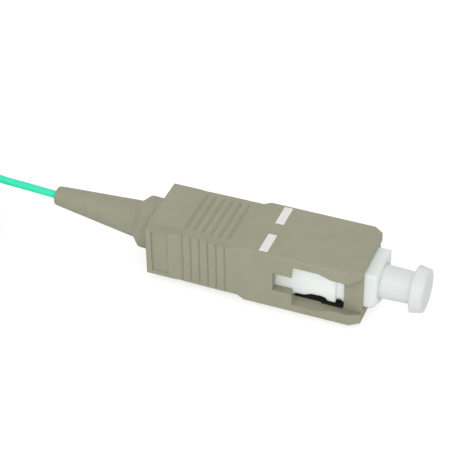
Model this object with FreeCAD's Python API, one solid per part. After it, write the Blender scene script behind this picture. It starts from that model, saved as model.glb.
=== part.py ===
"""Square push-pull fibre connector on a 0.9 mm pigtail, in millimetres.

The optical axis is the X axis, with +X towards the ferrule's tip. X = 0 is the
front face of the outer housing, +Z is the face that carries the position marks
and -Z is the face that carries the key. Every piece is its own solid, and each
is written to parts/NODE.step.
"""

import FreeCAD
import Part

import math
import os

from FreeCAD import Rotation, Vector

# ------------------------------------------------------------- buffered fibre
BUFFER_DIAMETER = 0.9
FIBRE_DIAMETER = 0.125

# ------------------------------------------------------------------ plug frame
FRAME_PROTRUSION = 1.4  # how far the frame stands out of the housing at rest
FRAME_LENGTH = 20.9
FRAME_NOSE_WIDTH = 5.24
FRAME_HEIGHT = 5.0
FRAME_BODY_WIDTH = 6.04
FRAME_BODY_SETBACK = 7.95  # from the housing's front face back to the wide rear body
FRAME_TOP_RADIUS = 0.22  # long edges of the nose
FRAME_LOWER_RADIUS = 0.85
FRAME_BULLET_LENGTH = 1.25  # the nose's lower half narrows over this length to its front face
FRAME_BULLET_RADII = (3.45, 3.23, 2.77, 2.5)  # from rear to front, about the ferrule's axis
FRAME_BULLET_SHARES = (0.0, 0.48, 0.83, 1.0)
FRAME_BODY_RADIUS = 0.35
FRAME_CLEARANCE = 0.08  # all round, inside the housing
SLEEVE_BORE_DIAMETER = 4.2  # room for an adapter's sleeve holder
SLEEVE_BORE_DEPTH = 6.65
WEB_THICKNESS = 0.75  # web that stops the ferrule's flange
THROAT_CLEARANCE = 0.2  # radial, between the web and the ferrule
SPRING_BORE_DIAMETER = 4.2
CHEEK_FRONT_SETBACK = 3.15
CHEEK_TALL = 4.2  # height of the latch bump and of the cheek's rear end
CHEEK_SLIM = 3.3  # height of the waist between them
CHEEK_BUMP_LENGTH = 0.83
CHEEK_RISE = 0.27  # slope from the waist up to the bump
CHEEK_WAIST_LENGTH = 1.7
CHEEK_SLOPE = 0.8  # slope from the waist up to the rear end
RELIEF_DEPTH = 0.65  # undercut of the frame below each cheek
RELIEF_HEIGHT = 0.75

# ---------------------------------------------------------------- outer housing
HOUSING_WIDTH = 9.0  # across Y, in the front section that enters an adapter
HOUSING_HEIGHT = 7.4  # across Z, in the front section
FRONT_LENGTH = 13.4  # front section, from the front face back to the step
STEP_LENGTH = 0.9  # ramp between the front section and the grip
GRIP_LENGTH = 10.96  # grip, behind the ramp
GRIP_STEP_Y = 0.17  # how far the grip lies inside the front section, each side
GRIP_STEP_Z = 0.31
EDGE_RADIUS = 0.22  # long edges of the housing
NOSE_CHAMFER_X = 1.26  # bevels at the two upright front corners, seen from above
NOSE_CHAMFER_Y = 0.91
CAVITY_RADIUS = 0.3

# side windows, where an adapter's latch arms drop in, measured back from the front face
FRONT_BAR = 2.1  # bar that closes each window at the front
WINDOW_LENGTH = 5.6
WINDOW_HEIGHT = 5.3
SLOT_LENGTH = 2.27  # narrow rear part of each window
SLOT_HEIGHT = 2.4
RAIL_RAMP_SETBACK = 3.2  # the rails thicken behind this point
RAIL_RAMP_LENGTH = 1.5
CHANNEL_HEIGHT = 4.3  # height of the latch channel at the outer face

# key on the lower face
KEY_WIDTH = 1.65
KEY_HEIGHT = 0.65
KEY_SETBACK = 0.5
KEY_LENGTH = 8.6

# position marks, two flush inlays in the upper face
MARK_STEP_GAP = 1.67  # from the step forward to the marks
MARK_LENGTH = 1.02
MARK_WIDTH = 3.17
MARK_GAP = 1.98
MARK_DEPTH = 0.2

# grip: ribs on the sides, valleys on the flat faces, a bare label panel
RIB_COUNT = 5
RIB_PITCH = 1.03
RIB_STEP_GAP = 1.45  # from the step back to the first rib
RIB_RELIEF = 0.2  # waist of the ribbed stretch, each side
RIB_GROOVE_DEPTH = 0.18
RIB_GROOVE_WIDTH = 0.26
SCOOP_LENGTH = 1.6  # finger scoop behind the ribs
SCOOP_DEPTH = 0.26
VALLEY_WIDTH = 0.7
VALLEY_DEPTH = 0.26
VALLEY_END_GAP = 0.75  # plain border beside the valleys
PANEL_REAR_GAP = 0.66
PANEL_LENGTH = 2.0
PANEL_HEIGHT = 5.5
PANEL_DEPTH = 0.18
FACET_WIDTH_REAR = 0.8  # bevel along one upper edge and the opposite lower edge of the rear block
FACET_WIDTH_FRONT = 1.0
FACET_DROP_REAR = 0.5
FACET_DROP_FRONT = 0.25
SHOULDER_BEVEL = 0.28  # the same edges, from the ribs to the step

# ------------------------------------------------- ferrule, flange and spring
FERRULE_DIAMETER = 2.499
FERRULE_LENGTH = 10.5
FERRULE_TIP_CHAMFER = 0.35
FERRULE_STANDOUT = 2.0  # from the frame's nose to the ferrule's tip
FLANGE_CLEARANCE = 0.1  # radial, in the frame's spring bore
FLANGE_LENGTH = 1.7
FLANGE_FLAT_DEPTH = 0.15
TAIL_DIAMETER = 2.1
TAIL_LENGTH = 7.5
LEAD_CLEARANCE = 0.06  # radial, round the buffered fibre in the tail
SPRING_WIRE = 0.45
SPRING_TURNS = 5.0
SPRING_STEPS = 12  # facets in each turn
SPRING_SIDES = 8
SPRING_LENGTH = 5.9
SPRING_CLEARANCE = 0.18

# ------------------------------------------------------------- rear body, boot
STOP_SHOULDER_LENGTH = 1.1
STOP_SHOULDER_STEP = 0.22  # the shoulder lies this far inside the frame's outline
STOP_BARREL_DIAMETER = 3.4
STOP_BARREL_LENGTH = 2.0
STOP_CLEARANCE = 0.15  # radial, round the flange's tail
BOOT_NECK_CLEARANCE = 0.46  # radial, in the housing's rear opening
BOOT_GAP = 0.26  # between the housing's rear face and the collar
BOOT_COLLAR_DIAMETER = 6.05
BOOT_COLLAR_LENGTH = 1.54
BOOT_FLARE_LENGTH = 0.9
BOOT_TAIL_LENGTH = 10.54
BOOT_ROOT_DIAMETER = 4.34
BOOT_TIP_DIAMETER = 2.05
BOOT_TIP_RADIUS = 0.45
BOOT_LEAN_DEG = 3.4  # the flexible boot leans up behind the barrel, towards the coil
BOOT_LIFT = 0.18  # and it sits a little above the barrel's axis
BOOT_WALL_CLEARANCE = 0.05  # radial, round the buffered fibre

# -------------------------------------------------------------------- dust cap
CAP_INSERT = 3.8  # length inside the frame
CAP_CLEARANCE = 0.2  # radial, in the frame's sleeve bore
CAP_SHAFT_LENGTH = 3.6  # from the frame's nose to the pull rim
CAP_SHAFT_TAPER = 0.08  # radius lost along the shaft
CAP_COLLAR_LENGTH = 0.5  # locating collar inside the frame's mouth
CAP_COLLAR_CLEARANCE = 0.04  # radial
CAP_RIM_LENGTH = 1.42
CAP_RIM_DIAMETER = 5.44
CAP_RIM_FRONT_DIAMETER = 4.86
CAP_BORE_CLEARANCE = 0.012  # radial, a light running fit on the ferrule
CAP_BORE_ROOM = 1.2  # in front of the ferrule's tip

# --------------------------------------------------------- lead, coil and ties
LEAD_FRONT_GAP = 1.5  # from the ferrule's rear end back to the buffer
LEAD_HOLE_DIAMETER = 0.3
LEAD_HOLE_DEPTH = 2.4
FIBRE_IN_LEAD = 1.1
TIE_THICKNESS = 0.2
TIE_WIDTH = 1.6
TIE_COUNT = 2
TIE_START_DEG = 150.0
COIL_MEAN_DIAMETER = 9.45
COIL_ROWS = 8
COIL_COLUMNS = 4
COIL_DISTANCE = 12.9  # from the boot's tip to where the fibre touches the coil

CUT_OVERLAP = 0.2  # how far a cutting body runs past the face it cuts


def tube_x(x0, x1, diameter, bore=0.0):
    """Round bar or tube along X."""
    solid = Part.makeCylinder(diameter / 2, x1 - x0, Vector(x0, 0, 0), Vector(1, 0, 0))
    if bore:
        solid = solid.cut(Part.makeCylinder(bore / 2, x1 - x0, Vector(x0, 0, 0), Vector(1, 0, 0)))
    return solid


def box(x0, x1, y0, y1, z0, z1):
    """Box from its low and high corners."""
    return Part.makeBox(x1 - x0, y1 - y0, z1 - z0, Vector(x0, y0, z0))


def both_sides(solid):
    """The solid and its mirror image in the XZ plane."""
    return [solid, solid.mirror(Vector(0, 0, 0), Vector(0, 1, 0))]


def section(x, width, height, radius, lower_radius=None):
    """Rounded rectangle across the X axis, as a wire."""
    y, z = width / 2, height / 2
    corners = []
    for sy, sz in ((1, 1), (-1, 1), (-1, -1), (1, -1)):
        r = lower_radius if sz < 0 and lower_radius else radius
        k = r * (1 - math.sqrt(0.5))
        along_z = Vector(x, sy * y, sz * (z - r))
        along_y = Vector(x, sy * (y - r), sz * z)
        middle = Vector(x, sy * (y - k), sz * (z - k))
        corners.append((along_z, middle, along_y) if sy * sz > 0 else (along_y, middle, along_z))
    edges = []
    for i, (start, middle, end) in enumerate(corners):
        edges.append(Part.Arc(start, middle, end).toShape())
        edges.append(Part.LineSegment(end, corners[(i + 1) % 4][0]).toShape())
    return Part.Wire(edges)


def bar(x0, x1, width, height, radius, lower_radius=None):
    """Rounded rectangular bar along X."""
    return Part.Face(section(x0, width, height, radius, lower_radius)).extrude(Vector(x1 - x0, 0, 0))


def prism_z(points, z0, z1):
    """Upright prism over a closed plan outline of (x, y) points."""
    wire = Part.makePolygon([Vector(x, y, z0) for x, y in points + points[:1]])
    return Part.Face(wire).extrude(Vector(0, 0, z1 - z0))


def prism_y(points, y0, y1):
    """Prism along Y over a closed side outline of (x, z) points."""
    wire = Part.makePolygon([Vector(x, y0, z) for x, z in points + points[:1]])
    return Part.Face(wire).extrude(Vector(0, y1 - y0, 0))


def revolve_x(profile):
    """Solid of revolution about X from (x, radius) points, closed along the axis."""
    outline = [(profile[0][0], 0.0)] + profile + [(profile[-1][0], 0.0)]
    wire = Part.makePolygon([Vector(x, 0, r) for x, r in outline + outline[:1]])
    return Part.Face(wire).revolve(Vector(0, 0, 0), Vector(1, 0, 0), 360)


# --------------------------------------------------------------------------
# outer housing
# --------------------------------------------------------------------------
HALF_W = HOUSING_WIDTH / 2
HALF_H = HOUSING_HEIGHT / 2
GRIP_WIDTH = HOUSING_WIDTH - 2 * GRIP_STEP_Y
GRIP_HEIGHT = HOUSING_HEIGHT - 2 * GRIP_STEP_Z
GRIP_HALF_W = GRIP_WIDTH / 2
GRIP_HALF_H = GRIP_HEIGHT / 2
RAMP_REAR_X = -FRONT_LENGTH - STEP_LENGTH
HOUSING_REAR_X = RAMP_REAR_X - GRIP_LENGTH
RIB_FRONT_X = RAMP_REAR_X - RIB_STEP_GAP
RIB_REAR_X = RIB_FRONT_X - RIB_COUNT * RIB_PITCH
CAVITY_WIDTH = FRAME_BODY_WIDTH + 2 * FRAME_CLEARANCE
CAVITY_HEIGHT = FRAME_HEIGHT + 2 * FRAME_CLEARANCE
MOUTH_WIDTH = FRAME_NOSE_WIDTH + 2 * FRAME_CLEARANCE
CAVITY_SIDE = CAVITY_WIDTH / 2
WINDOW_REAR_X = -FRONT_BAR - WINDOW_LENGTH
FLOOR_Z = -HALF_H - KEY_HEIGHT


def housing_blank():
    """Front section, ramp and grip, still solid."""
    front = bar(-FRONT_LENGTH, 0, HOUSING_WIDTH, HOUSING_HEIGHT, EDGE_RADIUS)
    grip = bar(HOUSING_REAR_X, RAMP_REAR_X, GRIP_WIDTH, GRIP_HEIGHT, EDGE_RADIUS)
    ramp = Part.makeLoft(
        [
            section(RAMP_REAR_X, GRIP_WIDTH, GRIP_HEIGHT, EDGE_RADIUS),
            section(-FRONT_LENGTH, HOUSING_WIDTH, HOUSING_HEIGHT, EDGE_RADIUS),
        ],
        True,
        True,
    )
    return front.fuse([ramp, grip])


def nose_chamfer_cutters():
    """Wedges that bevel the two upright front corners."""
    o = CUT_OVERLAP
    slope = NOSE_CHAMFER_Y / NOSE_CHAMFER_X
    wedge = prism_z(
        [
            (-NOSE_CHAMFER_X - o, HALF_W + o * slope),
            (o, HALF_W - NOSE_CHAMFER_Y - o * slope),
            (o, HALF_W + 1),
            (-NOSE_CHAMFER_X - o, HALF_W + 1),
        ],
        -HALF_H - 1,
        HALF_H + 1,
    )
    return both_sides(wedge)


def window_cutters():
    """Narrow slot and wide window through each side wall."""
    y0, y1 = CAVITY_SIDE - CUT_OVERLAP, HALF_W + 1
    ramp_rear = -RAIL_RAMP_SETBACK - RAIL_RAMP_LENGTH
    slot_rear = WINDOW_REAR_X - SLOT_LENGTH
    slot = box(slot_rear, WINDOW_REAR_X + CUT_OVERLAP, y0, y1, -SLOT_HEIGHT / 2, SLOT_HEIGHT / 2)
    inner = (CAVITY_SIDE + HALF_W) / 2
    wide = box(WINDOW_REAR_X, ramp_rear, y0, y1, -WINDOW_HEIGHT / 2, WINDOW_HEIGHT / 2)
    front = box(ramp_rear - 0.01, -FRONT_BAR, y0, inner, -CHANNEL_HEIGHT / 2, CHANNEL_HEIGHT / 2)
    return both_sides(slot) + both_sides(wide) + both_sides(front)


def channel_section(x, outer_height):
    """Latch channel across X: it is taller at its floor than at its mouth."""
    floor, mouth, tall = CAVITY_SIDE, HALF_W, WINDOW_HEIGHT / 2
    slope = (tall - outer_height / 2) / (mouth - floor)
    lip = outer_height / 2 - slope * CUT_OVERLAP
    points = [(floor, -tall), (mouth + CUT_OVERLAP, -lip), (mouth + CUT_OVERLAP, lip), (floor, tall)]
    return Part.makePolygon([Vector(x, y, z) for y, z in points + points[:1]])


def channel_cutters():
    """Open channel from the front face back to each window, over the front bar."""
    ramp = Part.makeLoft(
        [
            channel_section(-RAIL_RAMP_SETBACK - RAIL_RAMP_LENGTH, WINDOW_HEIGHT),
            channel_section(-RAIL_RAMP_SETBACK, CHANNEL_HEIGHT),
        ],
        True,
        True,
    )
    run = Part.Face(channel_section(-RAIL_RAMP_SETBACK, CHANNEL_HEIGHT))
    run = run.extrude(Vector(CUT_OVERLAP + RAIL_RAMP_SETBACK, 0, 0))
    return both_sides(ramp) + both_sides(run)


def crest(x):
    """Half width of the ribbed stretch: its waist opens towards the step."""
    share = (x - RIB_REAR_X) / (RAMP_REAR_X - RIB_REAR_X)
    return GRIP_HALF_W - RIB_RELIEF * (1 - share)


def grip_side_cutters():
    """Finger scoop, waist and rib grooves on each side of the grip."""
    out = GRIP_HALF_W + 1
    scoop_rear = RIB_REAR_X - SCOOP_LENGTH
    deep = crest(RIB_REAR_X) - SCOOP_DEPTH
    start, end = Vector(scoop_rear, GRIP_HALF_W, 0), Vector(RIB_REAR_X, deep, 0)
    bow = Vector(scoop_rear + SCOOP_LENGTH * 0.55, GRIP_HALF_W - (GRIP_HALF_W - deep) * 0.36, 0)
    rib_start = RIB_REAR_X + RIB_GROOVE_WIDTH * 0.5
    corners = [
        end,
        Vector(rib_start, crest(rib_start), 0),
        Vector(RAMP_REAR_X, GRIP_HALF_W, 0),
        Vector(RAMP_REAR_X, out, 0),
        Vector(scoop_rear, out, 0),
        start,
    ]
    edges = [Part.Arc(start, bow, end).toShape()]
    edges += [Part.LineSegment(a, b).toShape() for a, b in zip(corners, corners[1:])]
    plan = Part.Face(Part.Wire(edges))
    plan.translate(Vector(0, 0, -HALF_H - 1))
    cutters = both_sides(plan.extrude(Vector(0, 0, HOUSING_HEIGHT + 2)))
    reach = GRIP_HALF_H - EDGE_RADIUS
    half = RIB_GROOVE_WIDTH / 2
    for i in range(1, RIB_COUNT + 1):
        x = RIB_REAR_X + i * RIB_PITCH
        notch = [(x - half, crest(x) + 0.02), (x, crest(x) - RIB_GROOVE_DEPTH), (x + half, crest(x) + 0.02)]
        groove = prism_z(notch + [(x + half, out), (x - half, out)], -reach, reach)
        cutters += both_sides(groove)
    return cutters


def grip_face_cutters():
    """Soft valleys across the grip's upper and lower faces."""
    cutters = []
    half, reach = VALLEY_WIDTH / 2, GRIP_HALF_W - VALLEY_END_GAP
    for side in (1, -1):
        face, over = side * GRIP_HALF_H, side * HALF_H
        flank, floor = side * (GRIP_HALF_H - 0.75 * VALLEY_DEPTH), side * (GRIP_HALF_H - VALLEY_DEPTH)
        for i in range(RIB_COUNT + 1):
            x = RIB_REAR_X + i * RIB_PITCH
            rise = [(x - half, over), (x - half, face), (x - half * 0.4, flank), (x, floor)]
            fall = [(x + half * 0.4, flank), (x + half, face), (x + half, over)]
            cutters.append(prism_y(rise + fall, -reach, reach))
    return cutters


def edge_wedge(stations):
    """Long wedge on the upper -Y edge, from (x, half width, width, drop) stations."""
    wires = []
    for x, side, width, drop in stations:
        inner = Vector(x, width - side, GRIP_HALF_H)
        outer = Vector(x, -side, GRIP_HALF_H - drop)
        apex = Vector(x, -side - 1, GRIP_HALF_H + 1)
        wires.append(Part.makePolygon([inner, outer, apex, inner]))
    return Part.makeLoft(wires, True, True)


def facet_cutters():
    """Bevels along one upper edge of the grip and, turned half round, the opposite lower edge."""
    label = edge_wedge(
        [
            (HOUSING_REAR_X - CUT_OVERLAP, GRIP_HALF_W, FACET_WIDTH_REAR, FACET_DROP_REAR),
            (RIB_REAR_X, GRIP_HALF_W, FACET_WIDTH_FRONT, FACET_DROP_FRONT),
        ]
    )
    shoulder = edge_wedge(
        [
            (RIB_REAR_X, crest(RIB_REAR_X), SHOULDER_BEVEL * 1.5, SHOULDER_BEVEL),
            (RIB_FRONT_X, crest(RIB_FRONT_X), SHOULDER_BEVEL * 2, SHOULDER_BEVEL),
            (RAMP_REAR_X, GRIP_HALF_W, SHOULDER_BEVEL / 2, SHOULDER_BEVEL / 2),
        ]
    )
    turned = []
    for wedge in (label, shoulder):
        other = wedge.copy()
        other.rotate(Vector(0, 0, 0), Vector(1, 0, 0), 180)
        turned += [wedge, other]
    return turned


def panel_cutters():
    """Shallow bare label panel on each side of the grip's rear block."""
    y0, x0 = GRIP_HALF_W - PANEL_DEPTH, HOUSING_REAR_X + PANEL_REAR_GAP
    pocket = box(x0, x0 + PANEL_LENGTH, y0, y0 + 1, -PANEL_HEIGHT / 2, PANEL_HEIGHT / 2)
    return both_sides(pocket)


def key():
    """Polarity key along the lower face, with a bevelled front end."""
    z0, z1 = FLOOR_Z, -HALF_H + CUT_OVERLAP
    front = -KEY_SETBACK
    rear = front - KEY_LENGTH
    bevel = KEY_HEIGHT / 2
    outline = [(rear, z0), (front - bevel, z0), (front, z0 + bevel), (front, z1), (rear, z1)]
    return prism_y(outline, -KEY_WIDTH / 2, KEY_WIDTH / 2)


def mark_boxes():
    """The two inlays' own space, left (+Y) first."""
    y0, x0 = MARK_GAP / 2, -FRONT_LENGTH + MARK_STEP_GAP
    left = box(x0, x0 + MARK_LENGTH, y0, y0 + MARK_WIDTH, HALF_H - MARK_DEPTH, HALF_H)
    return both_sides(left)


def outer_housing():
    """Push-pull housing, open right through for the plug frame."""
    body = housing_blank().fuse(key())
    cavity = bar(HOUSING_REAR_X - 1, -FRONT_BAR, CAVITY_WIDTH, CAVITY_HEIGHT, CAVITY_RADIUS)
    mouth = bar(-FRONT_BAR - 1, 1, MOUTH_WIDTH, CAVITY_HEIGHT, FRAME_TOP_RADIUS)
    cutters = [cavity, mouth]
    cutters += nose_chamfer_cutters() + window_cutters() + channel_cutters()
    cutters += grip_side_cutters() + facet_cutters() + grip_face_cutters() + panel_cutters()
    cutters += mark_boxes()
    for cutter in cutters:
        body = body.cut(cutter)
    return body.removeSplitter()


# --------------------------------------------------------------------------
# plug frame
# --------------------------------------------------------------------------
FRAME_REAR_X = FRAME_PROTRUSION - FRAME_LENGTH
SLEEVE_BORE_END_X = FRAME_PROTRUSION - SLEEVE_BORE_DEPTH
FLANGE_SEAT_X = SLEEVE_BORE_END_X - WEB_THICKNESS


def frame_cheek():
    """Side cheek with the latch bump that an adapter's arm grips, on the +Y side."""
    tall, slim = CHEEK_TALL / 2, CHEEK_SLIM / 2
    bump = -CHEEK_FRONT_SETBACK - CHEEK_BUMP_LENGTH
    waist = bump - CHEEK_RISE
    slope = waist - CHEEK_WAIST_LENGTH
    lower = [
        (-FRAME_BODY_SETBACK - CUT_OVERLAP, tall),
        (slope - CHEEK_SLOPE, tall - 0.06),
        (slope, slim + 0.05),
        (waist - 0.45, slim),
        (waist, slim + 0.12),
        (bump, tall),
        (-CHEEK_FRONT_SETBACK, tall),
    ]
    outline = lower + [(x, -z) for x, z in reversed(lower)]
    return prism_y(outline, FRAME_NOSE_WIDTH / 2 - 2 * CUT_OVERLAP, FRAME_BODY_WIDTH / 2)


def frame_relief():
    """Undercut below a cheek, on the +Y side: the latch arm's hook needs the room."""
    y1, z0 = FRAME_NOSE_WIDTH / 2, -FRAME_HEIGHT / 2
    front, rear = -FRONT_BAR - 0.4, -FRAME_BODY_SETBACK + CUT_OVERLAP
    return box(rear, front, y1 - RELIEF_DEPTH, y1 + 1, z0 - 1, z0 + RELIEF_HEIGHT)


def nose_bullet_cutter():
    """Space round a bullet shape, below the axis: it narrows the nose's lower half to the front."""
    rear = FRAME_PROTRUSION - FRAME_BULLET_LENGTH
    stations = [
        (rear + share * FRAME_BULLET_LENGTH, radius)
        for share, radius in zip(FRAME_BULLET_SHARES, FRAME_BULLET_RADII)
    ]
    outline = [(rear - 1, FRAME_BULLET_RADII[0])] + stations + [(FRAME_PROTRUSION + 1, stations[-1][1])]
    bullet = revolve_x(outline)
    block = box(rear, FRAME_PROTRUSION + 0.5, -FRAME_NOSE_WIDTH, FRAME_NOSE_WIDTH, -FRAME_HEIGHT, 0)
    return block.cut(bullet)


def plug_frame():
    """Inner frame: it carries the ferrule and stands out of the housing's mouth."""
    nose = bar(
        -FRAME_BODY_SETBACK - 1,
        FRAME_PROTRUSION,
        FRAME_NOSE_WIDTH,
        FRAME_HEIGHT,
        FRAME_TOP_RADIUS,
        FRAME_LOWER_RADIUS,
    )
    nose = nose.cut(nose_bullet_cutter())
    for relief in both_sides(frame_relief()):
        nose = nose.cut(relief)
    rear = bar(FRAME_REAR_X, -FRAME_BODY_SETBACK, FRAME_BODY_WIDTH, FRAME_HEIGHT, FRAME_BODY_RADIUS)
    body = nose.fuse([rear] + both_sides(frame_cheek()))
    throat = FERRULE_DIAMETER + 2 * THROAT_CLEARANCE
    body = body.cut(tube_x(SLEEVE_BORE_END_X, FRAME_PROTRUSION + 1, SLEEVE_BORE_DIAMETER))
    body = body.cut(tube_x(FLANGE_SEAT_X - 1, SLEEVE_BORE_END_X + 0.1, throat))
    body = body.cut(tube_x(FRAME_REAR_X - 1, FLANGE_SEAT_X, SPRING_BORE_DIAMETER))
    return body.removeSplitter()


# --------------------------------------------------------------------------
# ferrule assembly
# --------------------------------------------------------------------------
FERRULE_TIP_X = FRAME_PROTRUSION + FERRULE_STANDOUT
FERRULE_REAR_X = FERRULE_TIP_X - FERRULE_LENGTH
FLANGE_REAR_X = FLANGE_SEAT_X - FLANGE_LENGTH
TAIL_REAR_X = FLANGE_REAR_X - TAIL_LENGTH
STOP_FRONT_X = FLANGE_REAR_X - SPRING_LENGTH
LEAD_FRONT_X = FERRULE_REAR_X - LEAD_FRONT_GAP


def ferrule():
    """Ceramic ferrule with a bevelled tip and the fibre's bore."""
    r, c = FERRULE_DIAMETER / 2, FERRULE_TIP_CHAMFER
    blank = revolve_x([(FERRULE_REAR_X, r), (FERRULE_TIP_X - c, r), (FERRULE_TIP_X, r - c)])
    return blank.cut(tube_x(FERRULE_REAR_X - 1, FERRULE_TIP_X + 1, FIBRE_DIAMETER))


def bare_fibre():
    """Glass fibre, from the ferrule's polished tip back into the buffer."""
    return tube_x(LEAD_FRONT_X - FIBRE_IN_LEAD, FERRULE_TIP_X, FIBRE_DIAMETER)


def ferrule_flange():
    """Flange with two flats, and the tail that the buffered fibre enters."""
    diameter = SPRING_BORE_DIAMETER - 2 * FLANGE_CLEARANCE
    flat, reach = diameter / 2 - FLANGE_FLAT_DEPTH, diameter
    disc = tube_x(FLANGE_REAR_X, FLANGE_SEAT_X, diameter)
    flats = box(FLANGE_REAR_X, FLANGE_SEAT_X, -flat, flat, -reach, reach)
    tail = tube_x(TAIL_REAR_X, FLANGE_REAR_X, TAIL_DIAMETER)
    body = disc.common(flats).fuse(tail)
    body = body.cut(tube_x(FERRULE_REAR_X, FLANGE_SEAT_X + 1, FERRULE_DIAMETER))
    bore = BUFFER_DIAMETER + 2 * LEAD_CLEARANCE
    return body.cut(tube_x(TAIL_REAR_X - 1, FERRULE_REAR_X, bore)).removeSplitter()


def ferrule_spring():
    """Compression spring between the flange and the rear body, in flat facets to stay light."""
    mean = TAIL_DIAMETER / 2 + SPRING_CLEARANCE + SPRING_WIRE / 2
    start, length = STOP_FRONT_X + SPRING_WIRE / 2, SPRING_LENGTH - SPRING_WIRE
    count = int(SPRING_TURNS * SPRING_STEPS)
    rings = []
    for i in range(count + 1):
        turn = 2 * math.pi * i / SPRING_STEPS
        outward = Vector(0, math.cos(turn), math.sin(turn))
        centre = Vector(start + length * i / count, 0, 0) + outward * mean
        ring = []
        for k in range(SPRING_SIDES):
            a = 2 * math.pi * (k + 0.5) / SPRING_SIDES
            side, out = SPRING_WIRE / 2 * math.sin(a), SPRING_WIRE / 2 * math.cos(a)
            ring.append(centre + outward * out + Vector(side, 0, 0))
        rings.append(ring)
    faces = [Part.Face(Part.makePolygon(ring + ring[:1])) for ring in (rings[0], rings[-1])]
    for first, second in zip(rings, rings[1:]):
        for k in range(SPRING_SIDES):
            j = (k + 1) % SPRING_SIDES
            a, b, c, d = first[k], first[j], second[j], second[k]
            faces += [Part.Face(Part.makePolygon(t + t[:1])) for t in ([a, b, c], [a, c, d])]
    coil = Part.makeSolid(Part.makeShell(faces))
    return coil if coil.Volume > 0 else coil.reversed()


# --------------------------------------------------------------------------
# rear body, boot and dust cap
# --------------------------------------------------------------------------
SHOULDER_REAR_X = FRAME_REAR_X - STOP_SHOULDER_LENGTH
BARREL_REAR_X = SHOULDER_REAR_X - STOP_BARREL_LENGTH
COLLAR_FRONT_X = HOUSING_REAR_X - BOOT_GAP
COLLAR_REAR_X = COLLAR_FRONT_X - BOOT_COLLAR_LENGTH
FLARE_REAR_X = COLLAR_REAR_X - BOOT_FLARE_LENGTH
BOOT_TIP_X = FLARE_REAR_X - BOOT_TAIL_LENGTH


def stop_body():
    """Rear body pressed into the frame, with the barrel that carries the boot."""
    plug = tube_x(FRAME_REAR_X, STOP_FRONT_X, SPRING_BORE_DIAMETER)
    width = FRAME_BODY_WIDTH - 2 * STOP_SHOULDER_STEP
    shoulder = bar(SHOULDER_REAR_X, FRAME_REAR_X, width, FRAME_HEIGHT, FRAME_BODY_RADIUS)
    barrel = tube_x(BARREL_REAR_X, SHOULDER_REAR_X, STOP_BARREL_DIAMETER)
    body = plug.fuse([shoulder, barrel])
    bore = TAIL_DIAMETER + 2 * STOP_CLEARANCE
    return body.cut(tube_x(BARREL_REAR_X - 1, STOP_FRONT_X + 1, bore)).removeSplitter()


def lean(shape):
    """Lift a shape and tilt it about the barrel's rear end, as the flexible boot leans."""
    shape.rotate(Vector(BARREL_REAR_X, 0, 0), Vector(0, 1, 0), BOOT_LEAN_DEG)
    shape.translate(Vector(0, 0, BOOT_LIFT))
    return shape


def boot():
    """Flexible boot: neck on the barrel, collar behind the housing and a tapering tail."""
    collar_r, root_r, tip_r = BOOT_COLLAR_DIAMETER / 2, BOOT_ROOT_DIAMETER / 2, BOOT_TIP_DIAMETER / 2
    neck_r = CAVITY_HEIGHT / 2 - BOOT_NECK_CLEARANCE
    flare_mid_x = COLLAR_REAR_X - 0.63 * BOOT_FLARE_LENGTH
    taper = (root_r - tip_r) / BOOT_TAIL_LENGTH
    tail = revolve_x(
        [
            (BOOT_TIP_X, tip_r - BOOT_TIP_RADIUS * 0.7),
            (BOOT_TIP_X + BOOT_TIP_RADIUS * 0.3, tip_r - BOOT_TIP_RADIUS * 0.25),
            (BOOT_TIP_X + BOOT_TIP_RADIUS, tip_r + taper * BOOT_TIP_RADIUS),
            (FLARE_REAR_X, root_r),
            (flare_mid_x, root_r + (collar_r - root_r) * 0.3),
            (COLLAR_REAR_X, collar_r - 0.06),
            (COLLAR_REAR_X + 0.12, collar_r),
            (COLLAR_FRONT_X - 0.1, collar_r),
            (COLLAR_FRONT_X, collar_r - 0.1),
            (COLLAR_FRONT_X, neck_r),
            (SHOULDER_REAR_X + CUT_OVERLAP, neck_r),
        ]
    )
    body = lean(tail).cut(box(SHOULDER_REAR_X, SHOULDER_REAR_X + 1, -4, 4, -4, 4))
    body = body.cut(tube_x(BARREL_REAR_X, SHOULDER_REAR_X + 1, STOP_BARREL_DIAMETER))
    bore_points = LEAD_POINTS[:2] + [leaned_point(BOOT_LEAN_LENGTH + 1)]
    return body.cut(swept_tube(bore_points, BUFFER_DIAMETER + 2 * BOOT_WALL_CLEARANCE))


def dust_cap():
    """Soft cap on the ferrule: a slightly tapered shaft with a locating collar and a pull rim."""
    rear, root = FRAME_PROTRUSION - CAP_INSERT, SLEEVE_BORE_DIAMETER / 2 - CAP_CLEARANCE
    rim_rear = FRAME_PROTRUSION + CAP_SHAFT_LENGTH
    collar = SLEEVE_BORE_DIAMETER / 2 - CAP_COLLAR_CLEARANCE
    bore = FERRULE_DIAMETER + 2 * CAP_BORE_CLEARANCE
    blank = revolve_x(
        [
            (rear, root),
            (FRAME_PROTRUSION - CAP_COLLAR_LENGTH, root),
            (FRAME_PROTRUSION - CAP_COLLAR_LENGTH, collar),
            (FRAME_PROTRUSION, collar),
            (FRAME_PROTRUSION, root),
            (rim_rear, root - CAP_SHAFT_TAPER),
            (rim_rear, CAP_RIM_DIAMETER / 2),
            (rim_rear + CAP_RIM_LENGTH, CAP_RIM_FRONT_DIAMETER / 2),
        ]
    )
    return blank.cut(tube_x(rear - 1, FERRULE_TIP_X + CAP_BORE_ROOM, bore))


# --------------------------------------------------------------------------
# buffered fibre, outside and inside the boot
# --------------------------------------------------------------------------
def leaned_point(distance):
    """Point on the boot's leaning centre line, a distance behind the barrel."""
    angle = math.radians(BOOT_LEAN_DEG)
    return Vector(BARREL_REAR_X - distance * math.cos(angle), 0, BOOT_LIFT + distance * math.sin(angle))


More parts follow.
